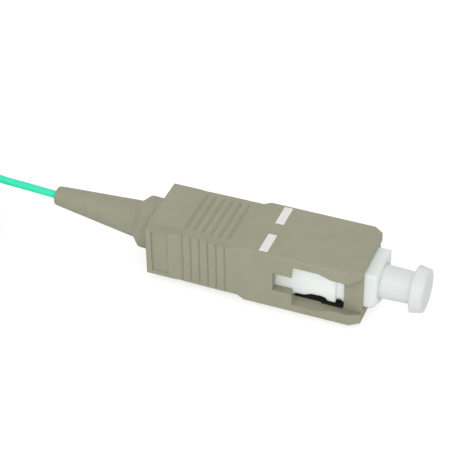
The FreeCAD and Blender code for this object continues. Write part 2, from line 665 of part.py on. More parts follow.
BOOT_LEAN_LENGTH = BARREL_REAR_X - BOOT_TIP_X
BOOT_EXIT = leaned_point(BOOT_LEAN_LENGTH)
COIL_WALL = COIL_COLUMNS * BUFFER_DIAMETER
COIL_HEIGHT = COIL_ROWS * BUFFER_DIAMETER
COIL_BASE_Z = FLOOR_Z + TIE_THICKNESS
COIL_OUTER_RADIUS = (COIL_MEAN_DIAMETER + COIL_WALL) / 2
COIL_INNER_RADIUS = (COIL_MEAN_DIAMETER - COIL_WALL) / 2
COIL_LINE_RADIUS = COIL_OUTER_RADIUS - BUFFER_DIAMETER / 2
COIL_TOP_LINE_Z = COIL_BASE_Z + COIL_HEIGHT - BUFFER_DIAMETER / 2
COIL_CENTRE = Vector(BOOT_EXIT.x - COIL_DISTANCE, -COIL_LINE_RADIUS, COIL_BASE_Z)

# points of the buffered fibre inside the connector, up to the boot's tip
LEAD_POINTS = [Vector(LEAD_FRONT_X, 0, 0), Vector(BARREL_REAR_X, 0, 0), BOOT_EXIT]

# points of the free fibre, from the boot's tip to where it lies along the coil
CORD_POINTS = [
    BOOT_EXIT,
    leaned_point(BOOT_LEAN_LENGTH + 3.2),
    BOOT_EXIT + Vector(-6.6, 0.0, 0.52),
    BOOT_EXIT + Vector(-9.9, 0.12, 1.48),
    Vector(COIL_CENTRE.x, 0.0, COIL_TOP_LINE_Z),
]


def rounded_path(points, share=0.45):
    """Straight runs joined by tangent arcs, as one wire, with the arcs' radii."""
    edges, radii = [], []
    start = points[0]
    for before, corner, after in zip(points, points[1:], points[2:]):
        into, out = (corner - before).normalize(), (after - corner).normalize()
        turn = into.getAngle(out)
        setback = share * min((corner - before).Length, (after - corner).Length)
        radius = setback / math.tan(turn / 2)
        radii.append(radius)
        first, last = corner - into * setback, corner + out * setback
        middle_dir = (out - into).normalize()
        middle = corner + middle_dir * (radius / math.cos(turn / 2) - radius)
        edges.append(Part.LineSegment(start, first).toShape())
        edges.append(Part.Arc(first, middle, last).toShape())
        start = last
    edges.append(Part.LineSegment(start, points[-1]).toShape())
    return Part.Wire(edges), radii


def swept_tube(points, diameter):
    """Round tube along a rounded path, checked against section times length."""
    path, radii = rounded_path(points)
    start, heading = points[0], points[1] - points[0]
    profile = Part.Wire(Part.makeCircle(diameter / 2, start, heading))
    tube = path.makePipeShell([profile], True, False)
    expected = math.pi * diameter**2 / 4 * path.Length
    print("tube radii", [round(r, 1) for r in radii], "volume share", round(tube.Volume / expected, 4))
    return tube


def cable():
    """Free stretch of the buffered fibre, from the boot into the side of the coil."""
    return swept_tube(CORD_POINTS, BUFFER_DIAMETER)


def inner_lead():
    """Buffered fibre inside the connector, with the stripped end's hole."""
    body = swept_tube(LEAD_POINTS, BUFFER_DIAMETER)
    return body.cut(tube_x(LEAD_FRONT_X - LEAD_HOLE_DEPTH, LEAD_FRONT_X + 1, LEAD_HOLE_DIAMETER))


def tube_z(outer, inner, z0, z1):
    """Upright ring about the Z axis."""
    ring = Part.makeCylinder(outer, z1 - z0, Vector(0, 0, z0))
    return ring.cut(Part.makeCylinder(inner, z1 - z0, Vector(0, 0, z0)))


def coil_ring():
    """Outer shape of the wound coil of buffered fibre."""
    ring = tube_z(COIL_OUTER_RADIUS, COIL_INNER_RADIUS, 0, COIL_HEIGHT)
    ring.translate(COIL_CENTRE)
    return ring


def coil_tie(index):
    """Narrow band wrapped round the coil's section."""
    t = TIE_THICKNESS
    wrap = tube_z(COIL_OUTER_RADIUS + t, COIL_INNER_RADIUS - t, -t, COIL_HEIGHT + t)
    wrap = wrap.cut(tube_z(COIL_OUTER_RADIUS, COIL_INNER_RADIUS, 0, COIL_HEIGHT))
    band = wrap.common(box(0, COIL_OUTER_RADIUS + 1, -TIE_WIDTH / 2, TIE_WIDTH / 2, -1, COIL_HEIGHT + 1))
    band.rotate(Vector(0, 0, 0), Vector(0, 0, 1), TIE_START_DEG + index * 360.0 / TIE_COUNT)
    band.translate(COIL_CENTRE)
    return band


def build_parts():
    """Every piece of the connector, by node name."""
    marks = mark_boxes()
    parts = {
        "outer_housing": outer_housing(),
        "position_mark_left": marks[0],
        "position_mark_right": marks[1],
        "plug_frame": plug_frame(),
        "ferrule": ferrule(),
        "bare_fibre": bare_fibre(),
        "ferrule_flange": ferrule_flange(),
        "ferrule_spring": ferrule_spring(),
        "stop_body": stop_body(),
        "boot": boot(),
        "dust_cap": dust_cap(),
        "inner_lead": inner_lead(),
        "cable": cable(),
        "cable_coil": coil_ring(),
    }
    for index in range(TIE_COUNT):
        parts[f"coil_tie_{index + 1}"] = coil_tie(index)
    return parts


def main():
    """Build each piece and write it as one STEP file."""
    os.makedirs("parts", exist_ok=True)
    for name, shape in build_parts().items():
        print(f"{name:22s} valid={shape.isValid()} solids={len(shape.Solids)} volume={shape.Volume:.3f}")
        shape.exportStep(f"parts/{name}.step")


main()
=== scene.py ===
"""Dressed scene of a square push-pull fibre connector on its buffered pigtail.

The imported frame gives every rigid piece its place. This file dresses those pieces,
models the turned, moulded and flexible ones in finer detail, winds the pigtail, and
sets a plain pale studio round it all. Lengths are written in millimetres and become
metres through MM where a mesh is made.
"""

import logging
import math
from abc import ABC, abstractmethod
from collections.abc import Callable, Mapping, Sequence
from dataclasses import dataclass, field
from enum import Enum, IntEnum
from typing import Any, Union

import bmesh
import bpy
from mathutils import Matrix, Vector


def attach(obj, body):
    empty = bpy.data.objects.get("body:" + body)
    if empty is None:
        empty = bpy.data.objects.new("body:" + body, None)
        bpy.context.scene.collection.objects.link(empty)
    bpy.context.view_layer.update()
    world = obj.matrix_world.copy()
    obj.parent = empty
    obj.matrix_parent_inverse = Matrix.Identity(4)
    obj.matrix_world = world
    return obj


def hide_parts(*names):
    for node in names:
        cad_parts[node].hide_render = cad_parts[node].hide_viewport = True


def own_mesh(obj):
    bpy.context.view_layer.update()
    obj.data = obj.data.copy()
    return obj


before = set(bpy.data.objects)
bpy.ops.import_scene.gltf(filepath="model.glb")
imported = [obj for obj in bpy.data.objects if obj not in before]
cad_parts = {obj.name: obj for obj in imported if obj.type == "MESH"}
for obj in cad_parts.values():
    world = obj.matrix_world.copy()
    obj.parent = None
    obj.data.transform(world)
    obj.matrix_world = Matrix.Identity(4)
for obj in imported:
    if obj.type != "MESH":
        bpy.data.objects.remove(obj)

MM = 0.001
LOG = logging.getLogger("connector")

Colour = tuple[float, float, float]
Point = tuple[float, float, float]
Pair = tuple[float, float]
Operand = Union["Wire", float, int]
Inputs = Mapping[Union[str, int], Any]
Owner = Union[bpy.types.Material, bpy.types.World]
Ring = list[bmesh.types.BMVert]

WHITE: Colour = (1.0, 1.0, 1.0)


class Axis(IntEnum):
    """Coordinates of a position or of a normal."""

    X = 0
    Y = 1
    Z = 2


class Face(IntEnum):
    """The two flat faces of the grip, by the sign of their height."""

    UPPER = 1
    LOWER = -1


class Maths(Enum):
    """Operations of a Math node."""

    ADD = "ADD"
    SUBTRACT = "SUBTRACT"
    MULTIPLY = "MULTIPLY"
    LARGER = "MAXIMUM"
    SINE = "SINE"
    ABSOLUTE = "ABSOLUTE"


def srgb(red: int, green: int, blue: int) -> Colour:
    """Turn a colour as a screen shows it into the linear values that shaders use.

    Args:
        red: Red, from 0 to 255.
        green: Green, from 0 to 255.
        blue: Blue, from 0 to 255.

    Returns:
        The same colour in linear light.
    """

    def linear(value: int) -> float:
        """One channel in linear light."""
        v = value / 255
        return v / 12.92 if v <= 0.04045 else ((v + 0.055) / 1.055) ** 2.4

    return linear(red), linear(green), linear(blue)


# --------------------------------------------------------------------------
# shader building
# --------------------------------------------------------------------------
class Wire:
    """A node's output that can be used in sums, so that shader maths reads as maths."""

    def __init__(self, graph: "Graph", socket: bpy.types.NodeSocket) -> None:
        """Keep the graph that the socket belongs to, and the socket."""
        self.graph = graph
        self.socket = socket

    def _sum(self, operation: Maths, first: Operand, second: Operand = 0.0) -> "Wire":
        """Add one Math node on two values."""
        settings = {"operation": operation.value}
        return self.graph.node("ShaderNodeMath", settings, {0: first, 1: second})

    def __add__(self, other: Operand) -> "Wire":
        """This value plus another."""
        return self._sum(Maths.ADD, self, other)

    def __radd__(self, other: Operand) -> "Wire":
        """Another value plus this one."""
        return self._sum(Maths.ADD, other, self)

    def __sub__(self, other: Operand) -> "Wire":
        """This value minus another."""
        return self._sum(Maths.SUBTRACT, self, other)

    def __rsub__(self, other: Operand) -> "Wire":
        """Another value minus this one."""
        return self._sum(Maths.SUBTRACT, other, self)

    def __mul__(self, other: Operand) -> "Wire":
        """This value times another."""
        return self._sum(Maths.MULTIPLY, self, other)

    def __rmul__(self, other: Operand) -> "Wire":
        """Another value times this one."""
        return self._sum(Maths.MULTIPLY, other, self)

    def larger(self, other: Operand) -> "Wire":
        """The larger of this value and another."""
        return self._sum(Maths.LARGER, self, other)

    def sine(self) -> "Wire":
        """Sine of this value."""
        return self._sum(Maths.SINE, self)

    def absolute(self) -> "Wire":
        """This value without its sign."""
        return self._sum(Maths.ABSOLUTE, self)

    def clamp(self) -> "Wire":
        """This value held between 0 and 1."""
        return self.graph.node("ShaderNodeClamp", {}, {"Value": self, "Min": 0.0, "Max": 1.0})

    def step(self, low: float, high: float) -> "Wire":
        """Smooth step from 0 at low to 1 at high.

        Args:
            low: Value at which the step starts.
            high: Value at which it ends.

        Returns:
            The stepped value.
        """
        settings = {"interpolation_type": "SMOOTHSTEP"}
        inputs = {"Value": self, "From Min": low, "From Max": high}
        return self.graph.node("ShaderNodeMapRange", settings, inputs)


class Graph:
    """The node tree of a material or of the world."""

    def __init__(self, owner: Owner, output: str = "ShaderNodeOutputMaterial") -> None:
        """Empty the owner's tree and put an output into it.

        Args:
            owner: Material or world.
            output: Type of its output node.
        """
        self.owner = owner
        owner.use_nodes = True
        self.tree = owner.node_tree
        self.tree.nodes.clear()
        self.output = self.tree.nodes.new(output)

    def feed(self, target: bpy.types.NodeSocket, value: Any) -> None:
        """Set a socket from a wire, a number or a tuple.

        Args:
            target: Socket to fill.
            value: Wire to link, or constant to write.
        """
        if isinstance(value, Wire):
            self.tree.links.new(value.socket, target)
        elif isinstance(value, tuple) and len(value) == 3 and target.type == "RGBA":
            target.default_value = (*value, 1.0)
        else:
            target.default_value = value

    def node(
        self,
        kind: str,
        settings: Mapping[str, Any],
        inputs: Inputs,
        output: Union[str, int] = 0,
    ) -> Wire:
        """Add any node.

        Args:
            kind: The node's type.
            settings: Its properties, which are set before its sockets.
            inputs: Values or wires of its input sockets, by name or place.
            output: The output to hand back, by name or place.

        Returns:
            The wanted output.
        """
        made = self.tree.nodes.new(kind)
        for key, value in settings.items():
            setattr(made, key, value)
        for key, value in inputs.items():
            self.feed(made.inputs[key], value)
        return Wire(self, made.outputs[output])

    def place(self) -> Wire:
        """Position on the piece, in millimetres."""
        inputs = {0: self.node("ShaderNodeTexCoord", {}, {}, "Object"), "Scale": 1 / MM}
        return self.node("ShaderNodeVectorMath", {"operation": "SCALE"}, inputs)

    def along(self, axis: Axis, vector: Wire) -> Wire:
        """One coordinate of a position or of a normal."""
        return self.node("ShaderNodeSeparateXYZ", {}, {0: vector}, int(axis))

    def stretch(self, vector: Wire, factors: Point) -> Wire:
        """A position stretched by one factor along each axis."""
        inputs = {0: vector, 1: factors}
        return self.node("ShaderNodeVectorMath", {"operation": "MULTIPLY"}, inputs)

    def noise(
        self, vector: Wire, scale: float, detail: float = 2.0, roughness: float = 0.5
    ) -> Wire:
        """Soft noise from 0 to 1.

        Args:
            vector: Position that it is read at.
            scale: Number of features per millimetre.
            detail: Number of finer layers.
            roughness: Weight of the finer layers.

        Returns:
            The noise value.
        """
        inputs = {"Vector": vector, "Scale": scale, "Detail": detail, "Roughness": roughness}
        return self.node("ShaderNodeTexNoise", {"noise_dimensions": "3D"}, inputs)

    def colours(self, factor: Operand, first: Any, second: Any) -> Wire:
        """Lay one colour over another.

        Args:
            factor: Share of the second colour.
            first: Colour underneath.
            second: Colour on top.

        Returns:
            The mixed colour.
        """
        settings = {"data_type": "RGBA", "blend_type": "MIX", "clamp_factor": True}
        return self.node("ShaderNodeMix", settings, {0: factor, 6: first, 7: second}, 2)

    def edges(self, radius: float) -> tuple[Wire, Wire]:
        """Find the edges of the piece.

        Args:
            radius: Width of an edge, in millimetres.

        Returns:
            The normal rounded over the edges, and a mask that is 1 on them.
        """
        rounded = self.node("ShaderNodeBevel", {"samples": 6}, {"Radius": radius * MM})
        plain = self.node("ShaderNodeNewGeometry", {}, {}, "Normal")
        settings = {"operation": "DOT_PRODUCT"}
        same = self.node("ShaderNodeVectorMath", settings, {0: rounded, 1: plain}, "Value")
        return rounded, (1 - same).step(0.0, 0.25)

    def bump(self, height: Wire, depth: float, normal: Union[Wire, None] = None) -> Wire:
        """Raise the surface by a height map.

        Args:
            height: Height from 0 to 1.
            depth: Depth of the relief, in millimetres.
            normal: Normal that the relief is added to.

        Returns:
            The bumped normal.
        """
        inputs: dict[str, Any] = {"Strength": 1.0, "Distance": depth * MM, "Height": height}
        if normal is not None:
            inputs["Normal"] = normal
        return self.node("ShaderNodeBump", {}, inputs)

    def finish(self, surface: Wire) -> Owner:
        """Join the surface to the output and hand the owner back."""
        self.tree.links.new(surface.socket, self.output.inputs["Surface"])
        return self.owner


# --------------------------------------------------------------------------
# finishes
# --------------------------------------------------------------------------
@dataclass(frozen=True)
class Finish(ABC):
    """What every finish has: a name, a main colour with its tones, and a surface."""

    name: str
    colour: Colour

    @abstractmethod
    def sockets(self, g: Graph, at: Wire) -> Inputs:
        """Values and wires of the Principled node's inputs, worked out by each finish."""

    def material(self) -> bpy.types.Material:
        """Build the material from its Principled node's inputs."""
        g = Graph(bpy.data.materials.new(self.name))
        return g.finish(g.node("ShaderNodeBsdfPrincipled", {}, self.sockets(g, g.place())))

    def tone(self, *factors: float, lift: float = 0.0) -> Colour:
        """The colour times one factor, or one for each channel, never past white."""
        shares = factors if len(factors) == 3 else factors * 3
        return tuple(min(1.0, c * share + lift) for c, share in zip(self.colour, shares))


@dataclass(frozen=True)
class MouldedPlastic(Finish):
    """Satin moulded plastic with a fine spark-eroded grain, faint clouds and a painted highlight
    along its edges.

    Attributes:
        hollow: Front, half width and half height of a hollow whose inside faces get painted shade,
            nearly black.
        shaded_bevels_behind: Front of the stretch whose slanting faces get painted shade.
    """

    roughness: float = 0.46
    grain: float = 9.0
    grain_depth: float = 0.005
    edge: float = 0.12
    tint: float = 0.02
    hollow: Union[Point, None] = None
    shaded_bevels_behind: Union[float, None] = None

    def shaded_bevels(self, g: Graph, at: Wire) -> Wire:
        """Mask of the slanting faces of the grip, which get painted shade and a slightly lower
        roughness.

        Args:
            g: The material's graph.
            at: Position on the piece.

        Returns:
            1 on the slanting faces and 0 elsewhere.
        """
        normal = g.node("ShaderNodeNewGeometry", {}, {}, "True Normal")
        slant = g.along(Axis.Y, normal) * g.along(Axis.Z, normal) * -1.0
        rear, front = self.shaded_bevels_behind - 0.25, self.shaded_bevels_behind + 0.15
        return slant.step(0.12, 0.2) * (1 - g.along(Axis.X, at).step(rear, front))

    def inside(self, g: Graph, at: Wire) -> Wire:
        """Mask of the faces round the hollow, which get painted shade, as hardly any light gets in.

        Args:
            g: The material's graph.
            at: Position on the piece.

        Returns:
            1 inside the hollow and 0 outside it.
        """
        front, half_width, half_height = self.hollow
        wall = 0.03
        behind = 1 - g.along(Axis.X, at).step(front - wall, front)
        beside = g.along(Axis.Y, at).absolute().step(half_width, half_width + wall)
        above = g.along(Axis.Z, at).absolute().step(half_height, half_height + wall)
        return behind * ((1 - beside) * (1 - above))

    def sockets(self, g: Graph, at: Wire) -> Inputs:
        """Work out the surface of the plastic.

        Args:
            g: The material's graph.
            at: Position on the piece.

        Returns:
            Values and wires of the Principled node's inputs.
        """
        cloud = g.noise(at, 0.3, 3.0)
        drift = g.noise(g.stretch(at, (0.6, 1.0, 1.0)), 1.1, 3.0, 0.55)
        grain = g.noise(at, self.grain, 3.0, 0.65)
        speck = g.noise(at, 22.0, 1.0)
        rounded, edge = g.edges(self.edge)
        light = self.tone(1 + 1.6 * self.tint)
        mottle = (cloud * 0.5 + drift * 0.3 + grain * 0.2).step(0.32, 0.68)
        body = g.colours(mottle, self.tone(1 - 2.2 * self.tint), light)
        body = g.colours(speck.step(0.62, 0.8) * 0.3, body, light)
        # painted highlight: the colour is made lighter along the edges
        body = g.colours(edge * 0.35, body, self.tone(1.14, lift=0.01))
        roughness = self.roughness - 0.05 + grain * 0.09 + drift * 0.04 - edge * 0.05
        if self.shaded_bevels_behind is not None:
            bevel_shade = self.shaded_bevels(g, at)
            # painted shade: the slanting faces of the grip are darkened
            body = g.colours(bevel_shade * 0.9, body, self.tone(0.86))
            roughness = roughness - bevel_shade * 0.04
        if self.hollow:
            # painted shade: the faces inside the hollow are made nearly black
            shade = self.inside(g, at)
            body = g.colours(shade, body, self.tone(0.02))
            roughness = roughness + shade * 0.3
        return {
            "Base Color": body,
            "Roughness": roughness.clamp(),
            "Specular IOR Level": 0.3,
            "Normal": g.bump(grain * 0.8 + drift * 0.2, self.grain_depth, rounded),
        }


@dataclass(frozen=True)
class MilkyPlastic(Finish):
    """Soft translucent white plastic, cloudy inside and slightly waxy on the surface, with a faint
    painted glow and painted highlights on its edges.

    Attributes:
        shaded_from: Place along the axis in front of which painted shade makes the plastic greyer.
        shade: Share of the colour that is left there by the painted shade.
    """

    roughness: float = 0.36
    depth: float = 1.1
    edge: float = 0.16
    glow: float = 0.1
    shaded_from: float = 100.0
    shade: float = 0.9

    def sockets(self, g: Graph, at: Wire) -> Inputs:
        """Work out the surface, with painted shade in front of where its shade starts.

        Args:
            g: The material's graph.
            at: Position on the piece.

        Returns:
            Values and wires of the Principled node's inputs.
        """
        cloud = g.noise(at, 0.55, 3.0)
        wisps = g.noise(g.stretch(at, (0.35, 1.0, 1.0)), 1.6, 4.0, 0.6)
        grain = g.noise(at, 11.0, 2.0)
        rounded, edge = g.edges(self.edge)
        mist = (cloud * 0.55 + wisps * 0.45).step(0.3, 0.7)
        body = g.colours(mist, self.tone(0.95, 0.975, 0.98), self.colour)
        # painted highlight: lighter along the edges
        body = g.colours(edge * 0.2, body, self.tone(1.05))
        # painted shade: the plastic is greyer in front of shaded_from
        front = g.along(Axis.X, at).step(self.shaded_from - 0.5, self.shaded_from + 0.3)
        body = g.colours(front, body, self.tone(self.shade))
        return {
            "Base Color": body,
            "Roughness": (self.roughness - 0.04 + grain * 0.08 + wisps * 0.05).clamp(),
            "Specular IOR Level": 0.45,
            "Subsurface Weight": 0.4,
            "Subsurface Radius": (0.95, 1.0, 1.0),
            "Subsurface Scale": self.depth * MM,
            # painted light: the plastic glows a little, though it is no lamp
            "Emission Color": body,
            "Emission Strength": self.glow,
            "Normal": g.bump(grain * 0.5 + wisps * 0.5, 0.006, rounded),
        }


@dataclass(frozen=True)
class SoftBoot(Finish):
    """Matt elastomer with a powdery bloom and faint rings left by its mould."""

    roughness: float = 0.58

    def sockets(self, g: Graph, at: Wire) -> Inputs:
        """Work out the surface of the elastomer.

        Args:
            g: The material's graph.
            at: Position on the piece.

        Returns:
            Values and wires of the Principled node's inputs.
        """
        wobble = g.noise(at, 0.8, 3.0)
        rings = (g.along(Axis.X, at) * 5.2 + wobble * 2.5).sine() * 0.5 + 0.5
        bloom = g.noise(at, 2.2, 4.0, 0.6)
        grain = g.noise(at, 13.0, 2.0)
        rounded, edge = g.edges(0.12)
        light = self.tone(1.04)
        body = g.colours((wobble * 0.6 + bloom * 0.4).step(0.3, 0.7), self.tone(0.95), light)
        body = g.colours(rings * 0.05, body, light)
        # painted highlight: lighter along the edges
        body = g.colours(edge * 0.2, body, self.tone(1.15))
        relief = grain * 0.6 + rings * 0.2 + bloom * 0.2
        return {
            "Base Color": body,
            "Roughness": (self.roughness - 0.05 + bloom * 0.12).clamp(),
            "Specular IOR Level": 0.36,
            "Subsurface Weight": 0.12,
            "Subsurface Radius": (1.0, 0.95, 0.8),
            "Subsurface Scale": 0.7 * MM,
            "Sheen Weight": 0.06,
            "Sheen Roughness": 0.5,
            "Normal": g.bump(relief, 0.005, rounded),
        }


@dataclass(frozen=True)
class Buffer(Finish):
    """Extruded tight buffer: a bright skin with fine lines and slow colour drift."""

    def sockets(self, g: Graph, at: Wire) -> Inputs:
        """Work out the surface of the buffer.

        Args:
            g: The material's graph.
            at: Position on the piece.

        Returns:
            Values and wires of the Principled node's inputs.
        """
        drift = g.noise(at, 0.3, 3.0)
        lines = g.noise(g.stretch(at, (0.3, 5.0, 5.0)), 2.4, 3.0, 0.6)
        grain = g.noise(at, 14.0, 2.0)
        streaks = (drift * 0.6 + lines * 0.4).step(0.3, 0.7)
        deep, pale = self.tone(0.82, 0.95, 0.93), self.tone(1.1, 1.04, 1.05)
        return {
            "Base Color": g.colours(streaks, deep, pale),
            "Roughness": (0.3 + grain * 0.1 + lines * 0.06).clamp(),
            "Specular IOR Level": 0.45,
            "Subsurface Weight": 0.15,
            "Subsurface Radius": (0.4, 1.0, 0.8),
            "Subsurface Scale": 0.4 * MM,
            "Normal": g.bump(lines * 0.6 + grain * 0.4, 0.005),
        }


@dataclass(frozen=True)
class TurnedMetal(Finish):
    """Metal with fine tool marks round the X axis and a little handling haze."""

    roughness: float = 0.28
    pitch: float = 26.0

    def sockets(self, g: Graph, at: Wire) -> Inputs:
        """Work out the surface of the metal.

        Args:
            g: The material's graph.
            at: Position on the piece.

        Returns:
            Values and wires of the Principled node's inputs.
        """
        haze = g.noise(at, 1.4, 4.0, 0.6)
        chatter = g.noise(at, 3.0, 2.0) * 1.6
        marks = (g.along(Axis.X, at) * self.pitch + chatter).sine() * 0.5 + 0.5
        rounded, edge = g.edges(0.06)
        body = g.colours(haze.step(0.35, 0.75), self.tone(0.84), self.colour)
        # painted highlight: a lighter glint along the edges
        body = g.colours(edge * 0.5, body, self.tone(1.25))
        return {
            "Base Color": body,
            "Metallic": 1.0,
            "Roughness": (self.roughness + haze * 0.14 - marks * 0.05).clamp(),
            "Normal": g.bump(marks * 0.7 + haze * 0.3, 0.003, rounded),
        }


@dataclass(frozen=True)
class GroundCeramic(Finish):
    """Dense white ceramic, ground round and then polished, with a faint warm cloud."""

    polished_from: float = 2.6
    polished_to: float = 3.3

    def sockets(self, g: Graph, at: Wire) -> Inputs:
        """Work out the surface of the ceramic, polished towards its tip.

        Args:
            g: The material's graph.
            at: Position on the piece.

        Returns:
            Values and wires of the Principled node's inputs.
        """
        cloud = g.noise(at, 0.9, 3.0)
        marks = g.noise(g.stretch(at, (8.0, 0.4, 0.4)), 5.0, 2.0)
        polish = g.along(Axis.X, at).step(self.polished_from, self.polished_to)
        rounded, edge = g.edges(0.05)
        body = g.colours(cloud.step(0.35, 0.7), self.tone(1.0, 0.97, 0.92), self.colour)
        # painted highlight: lighter along the edges
        body = g.colours(edge * 0.4, body, (0.95, 0.95, 0.94))
        return {
            "Base Color": body,
            "Roughness": (0.24 + marks * 0.1 - polish * 0.14).clamp(),
            "Specular IOR Level": 0.7,
            "Subsurface Weight": 0.2,
            "Subsurface Radius": (1.0, 0.95, 0.85),
            "Subsurface Scale": 0.5 * MM,
            "Normal": g.bump(marks, 0.002, rounded),
        }


@dataclass(frozen=True)
class DrawnGlass(Finish):
    """Bare silica fibre with a trace of dust on it."""

    def sockets(self, g: Graph, at: Wire) -> Inputs:
        """Work out the surface of the glass.

        Args:
            g: The material's graph.
            at: Position on the piece.

        Returns:
            Values and wires of the Principled node's inputs.
        """
        dust = g.noise(at, 12.0, 3.0).step(0.5, 0.8)
        return {
            "Base Color": g.colours(dust * 0.4, self.colour, (0.8, 0.82, 0.82)),
            "Roughness": (0.04 + dust * 0.3).clamp(),
            "IOR": 1.46,
            "Transmission Weight": 0.85,
            "Normal": g.bump(dust, 0.001),
        }


@dataclass(frozen=True)
class WovenTape(Finish):
    """Thin white tape of crossing threads."""

    threads: float = 5.0

    def sockets(self, g: Graph, at: Wire) -> Inputs:
        """Work out the surface of the tape.

        Args:
            g: The material's graph.
            at: Position on the piece.

        Returns:
            Values and wires of the Principled node's inputs.
        """
        x, y, z = (g.along(axis, at) for axis in Axis)
        turn = 2 * math.pi * self.threads
        weave = ((x * turn + y * turn * 0.36).sine() * (z * turn + y * turn).sine()).absolute()
        fuzz = g.noise(at, 7.0, 3.0)
        return {
            "Base Color": g.colours(weave * 0.6 + fuzz * 0.25, self.tone(0.82), self.colour),
            "Roughness": (0.62 + fuzz * 0.2).clamp(),
            "Sheen Weight": 0.15,
            "Sheen Roughness": 0.4,
            "Normal": g.bump(weave * 0.8 + fuzz * 0.2, 0.02),
        }


class Palette:
    """Every finish of the connector, built once."""

    def __init__(self) -> None:
        """Build all the materials."""
        beige = srgb(161, 161, 139)
        hollow = (-2.15, 3.13, 2.61)
        # The housing's finish paints shade inside its hollow and on the slanting faces at the rear
        # of its grip.
        self.housing = MouldedPlastic(
            "Moulded_Beige", beige, hollow=hollow, shaded_bevels_behind=-14.6
        ).material()
        self.boot = SoftBoot("Soft_Beige", srgb(158, 156, 134)).material()
        self.mark = MouldedPlastic("Inlaid_White", srgb(240, 240, 238), 0.4, tint=0.01).material()
        # Painted shade makes the frame's nose and the cap's rim greyer.
        self.frame = MilkyPlastic(
            "Frame_White", srgb(243, 249, 245), depth=0.9, edge=0.3, shaded_from=0.0, shade=0.87
        ).material()
        self.cap = MilkyPlastic(
            "Cap_White",
            srgb(227, 230, 229),
            depth=1.6,
            edge=0.42,
            glow=0.05,
            shaded_from=5.2,
            shade=0.94,
        ).material()
        self.stop = MouldedPlastic("Moulded_Black", srgb(38, 38, 38), 0.5, tint=0.08).material()
        self.ceramic = GroundCeramic("Ground_Ceramic", (0.86, 0.86, 0.83)).material()
        self.metal = TurnedMetal("Turned_Steel", (0.62, 0.61, 0.58)).material()
        self.wire = TurnedMetal("Spring_Wire", (0.56, 0.56, 0.56), 0.34, 40.0).material()
        self.glass = DrawnGlass("Drawn_Silica", (0.93, 0.97, 0.98)).material()
        self.buffer = Buffer("Aqua_Buffer", srgb(58, 238, 192)).material()
        self.tape = WovenTape("Woven_Tape", srgb(232, 234, 233)).material()


# --------------------------------------------------------------------------
# mesh tools
# --------------------------------------------------------------------------
def add_piece(
    name: str, mesh: bpy.types.Mesh, material: bpy.types.Material, body: str
) -> bpy.types.Object:
    """Put a mesh into the scene as a piece that rides on a body.

    Args:
        name: Name of the piece.
        mesh: Its mesh.
        material: Its finish.
        body: Body that it rides on.

    Returns:
        The new object.
    """
    mesh.materials.clear()
    mesh.materials.append(material)
    piece = bpy.data.objects.new(name, mesh)
    bpy.context.collection.objects.link(piece)
    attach(piece, body)
    LOG.info("%s: %d faces on %s", name, len(mesh.polygons), body)
    return piece


def finished_mesh(name: str, made: bmesh.types.BMesh, smooth_angle: float) -> bpy.types.Mesh:
    """Turn a bmesh into a mesh that is shaded smooth except over sharp edges.

    Args:
        name: Name of the mesh.
        made: The drawn bmesh, which is freed.
        smooth_angle: Edges sharper than this many degrees stay crisp.

    Returns:
        The mesh.
    """
    bmesh.ops.recalc_face_normals(made, faces=made.faces)
    limit = math.radians(smooth_angle)
    for face in made.faces:
        face.smooth = True
    for edge in made.edges:
        edge.smooth = len(edge.link_faces) == 2 and edge.calc_face_angle(0.0) < limit
    mesh = bpy.data.meshes.new(name)
    made.to_mesh(mesh)
    made.free()
    return mesh


def mesh_from(
    name: str, fill: Callable[[bmesh.types.BMesh], None], smooth_angle: float = 35.0
) -> bpy.types.Mesh:
    """Make a mesh with bmesh.

    Args:
        name: Name of the mesh.
        fill: Function that draws into the empty bmesh.
        smooth_angle: Edges sharper than this many degrees stay crisp.

    Returns:
        The mesh.
    """
    made = bmesh.new()
    fill(made)
    return finished_mesh(name, made, smooth_angle)


def join_rings(made: bmesh.types.BMesh, rings: Sequence[Ring], closed: bool) -> None:
    """Skin a row of rings, with a fan where a ring is a single point.

    Args:
        made: Mesh that holds the rings.
        rings: Rings of one common number of points, or of one point.
        closed: Whether the last ring joins the first.
    """
    pairs = list(zip(rings, rings[1:])) + ([(rings[-1], rings[0])] if closed else [])
    for first, second in pairs:
        count = max(len(first), len(second))
        for i in range(count):
            j = (i + 1) % count
            if len(first) == 1:
                made.faces.new((first[0], second[i], second[j]))
            elif len(second) == 1:
                made.faces.new((first[i], first[j], second[0]))
            else:
                made.faces.new((first[i], first[j], second[j], second[i]))


def bent(start: Vector, corner: Vector, end: Vector, steps: int) -> list[Vector]:
    """Smooth bend that cuts a corner.

    Args:
        start: Point where the bend leaves the first straight.
        corner: The corner.
        end: Point where the bend meets the second straight.
        steps: Number of chords.

    Returns:
        Points from start to end.
    """
    points = []
    for i in range(steps + 1):
        t = i / steps
        points.append(start * (1 - t) ** 2 + corner * (2 * t * (1 - t)) + end * t**2)
    return points


def rounded_profile(corners: Sequence[Point], steps: int) -> list[Pair]:
    """Round the corners of an open outline.

    Args:
        corners: Place along the axis, radius, and radius of the rounding at each corner.
            The first and the last corner are left sharp.
        steps: Number of chords in each rounding.

    Returns:
        The outline with bends in place of its corners.
    """
    longest_share, straight = 0.48, math.pi - 0.02
    outline = [corners[0][:2]]
    for before, corner, after in zip(corners, corners[1:], corners[2:]):
        here, radius = Vector(corner[:2]), corner[2]
        into, out = Vector(before[:2]) - here, Vector(after[:2]) - here
        turn = into.angle(out)
        if radius <= 0 or turn > straight:
            outline.append(corner[:2])
            continue
        room = min(into.length, out.length) * longest_share
        reach = min(radius / math.tan(turn / 2), room)
        start, end = here + into.normalized() * reach, here + out.normalized() * reach
        outline += [(p.x, p.y) for p in bent(start, here, end, steps)]
    outline.append(corners[-1][:2])
    return outline


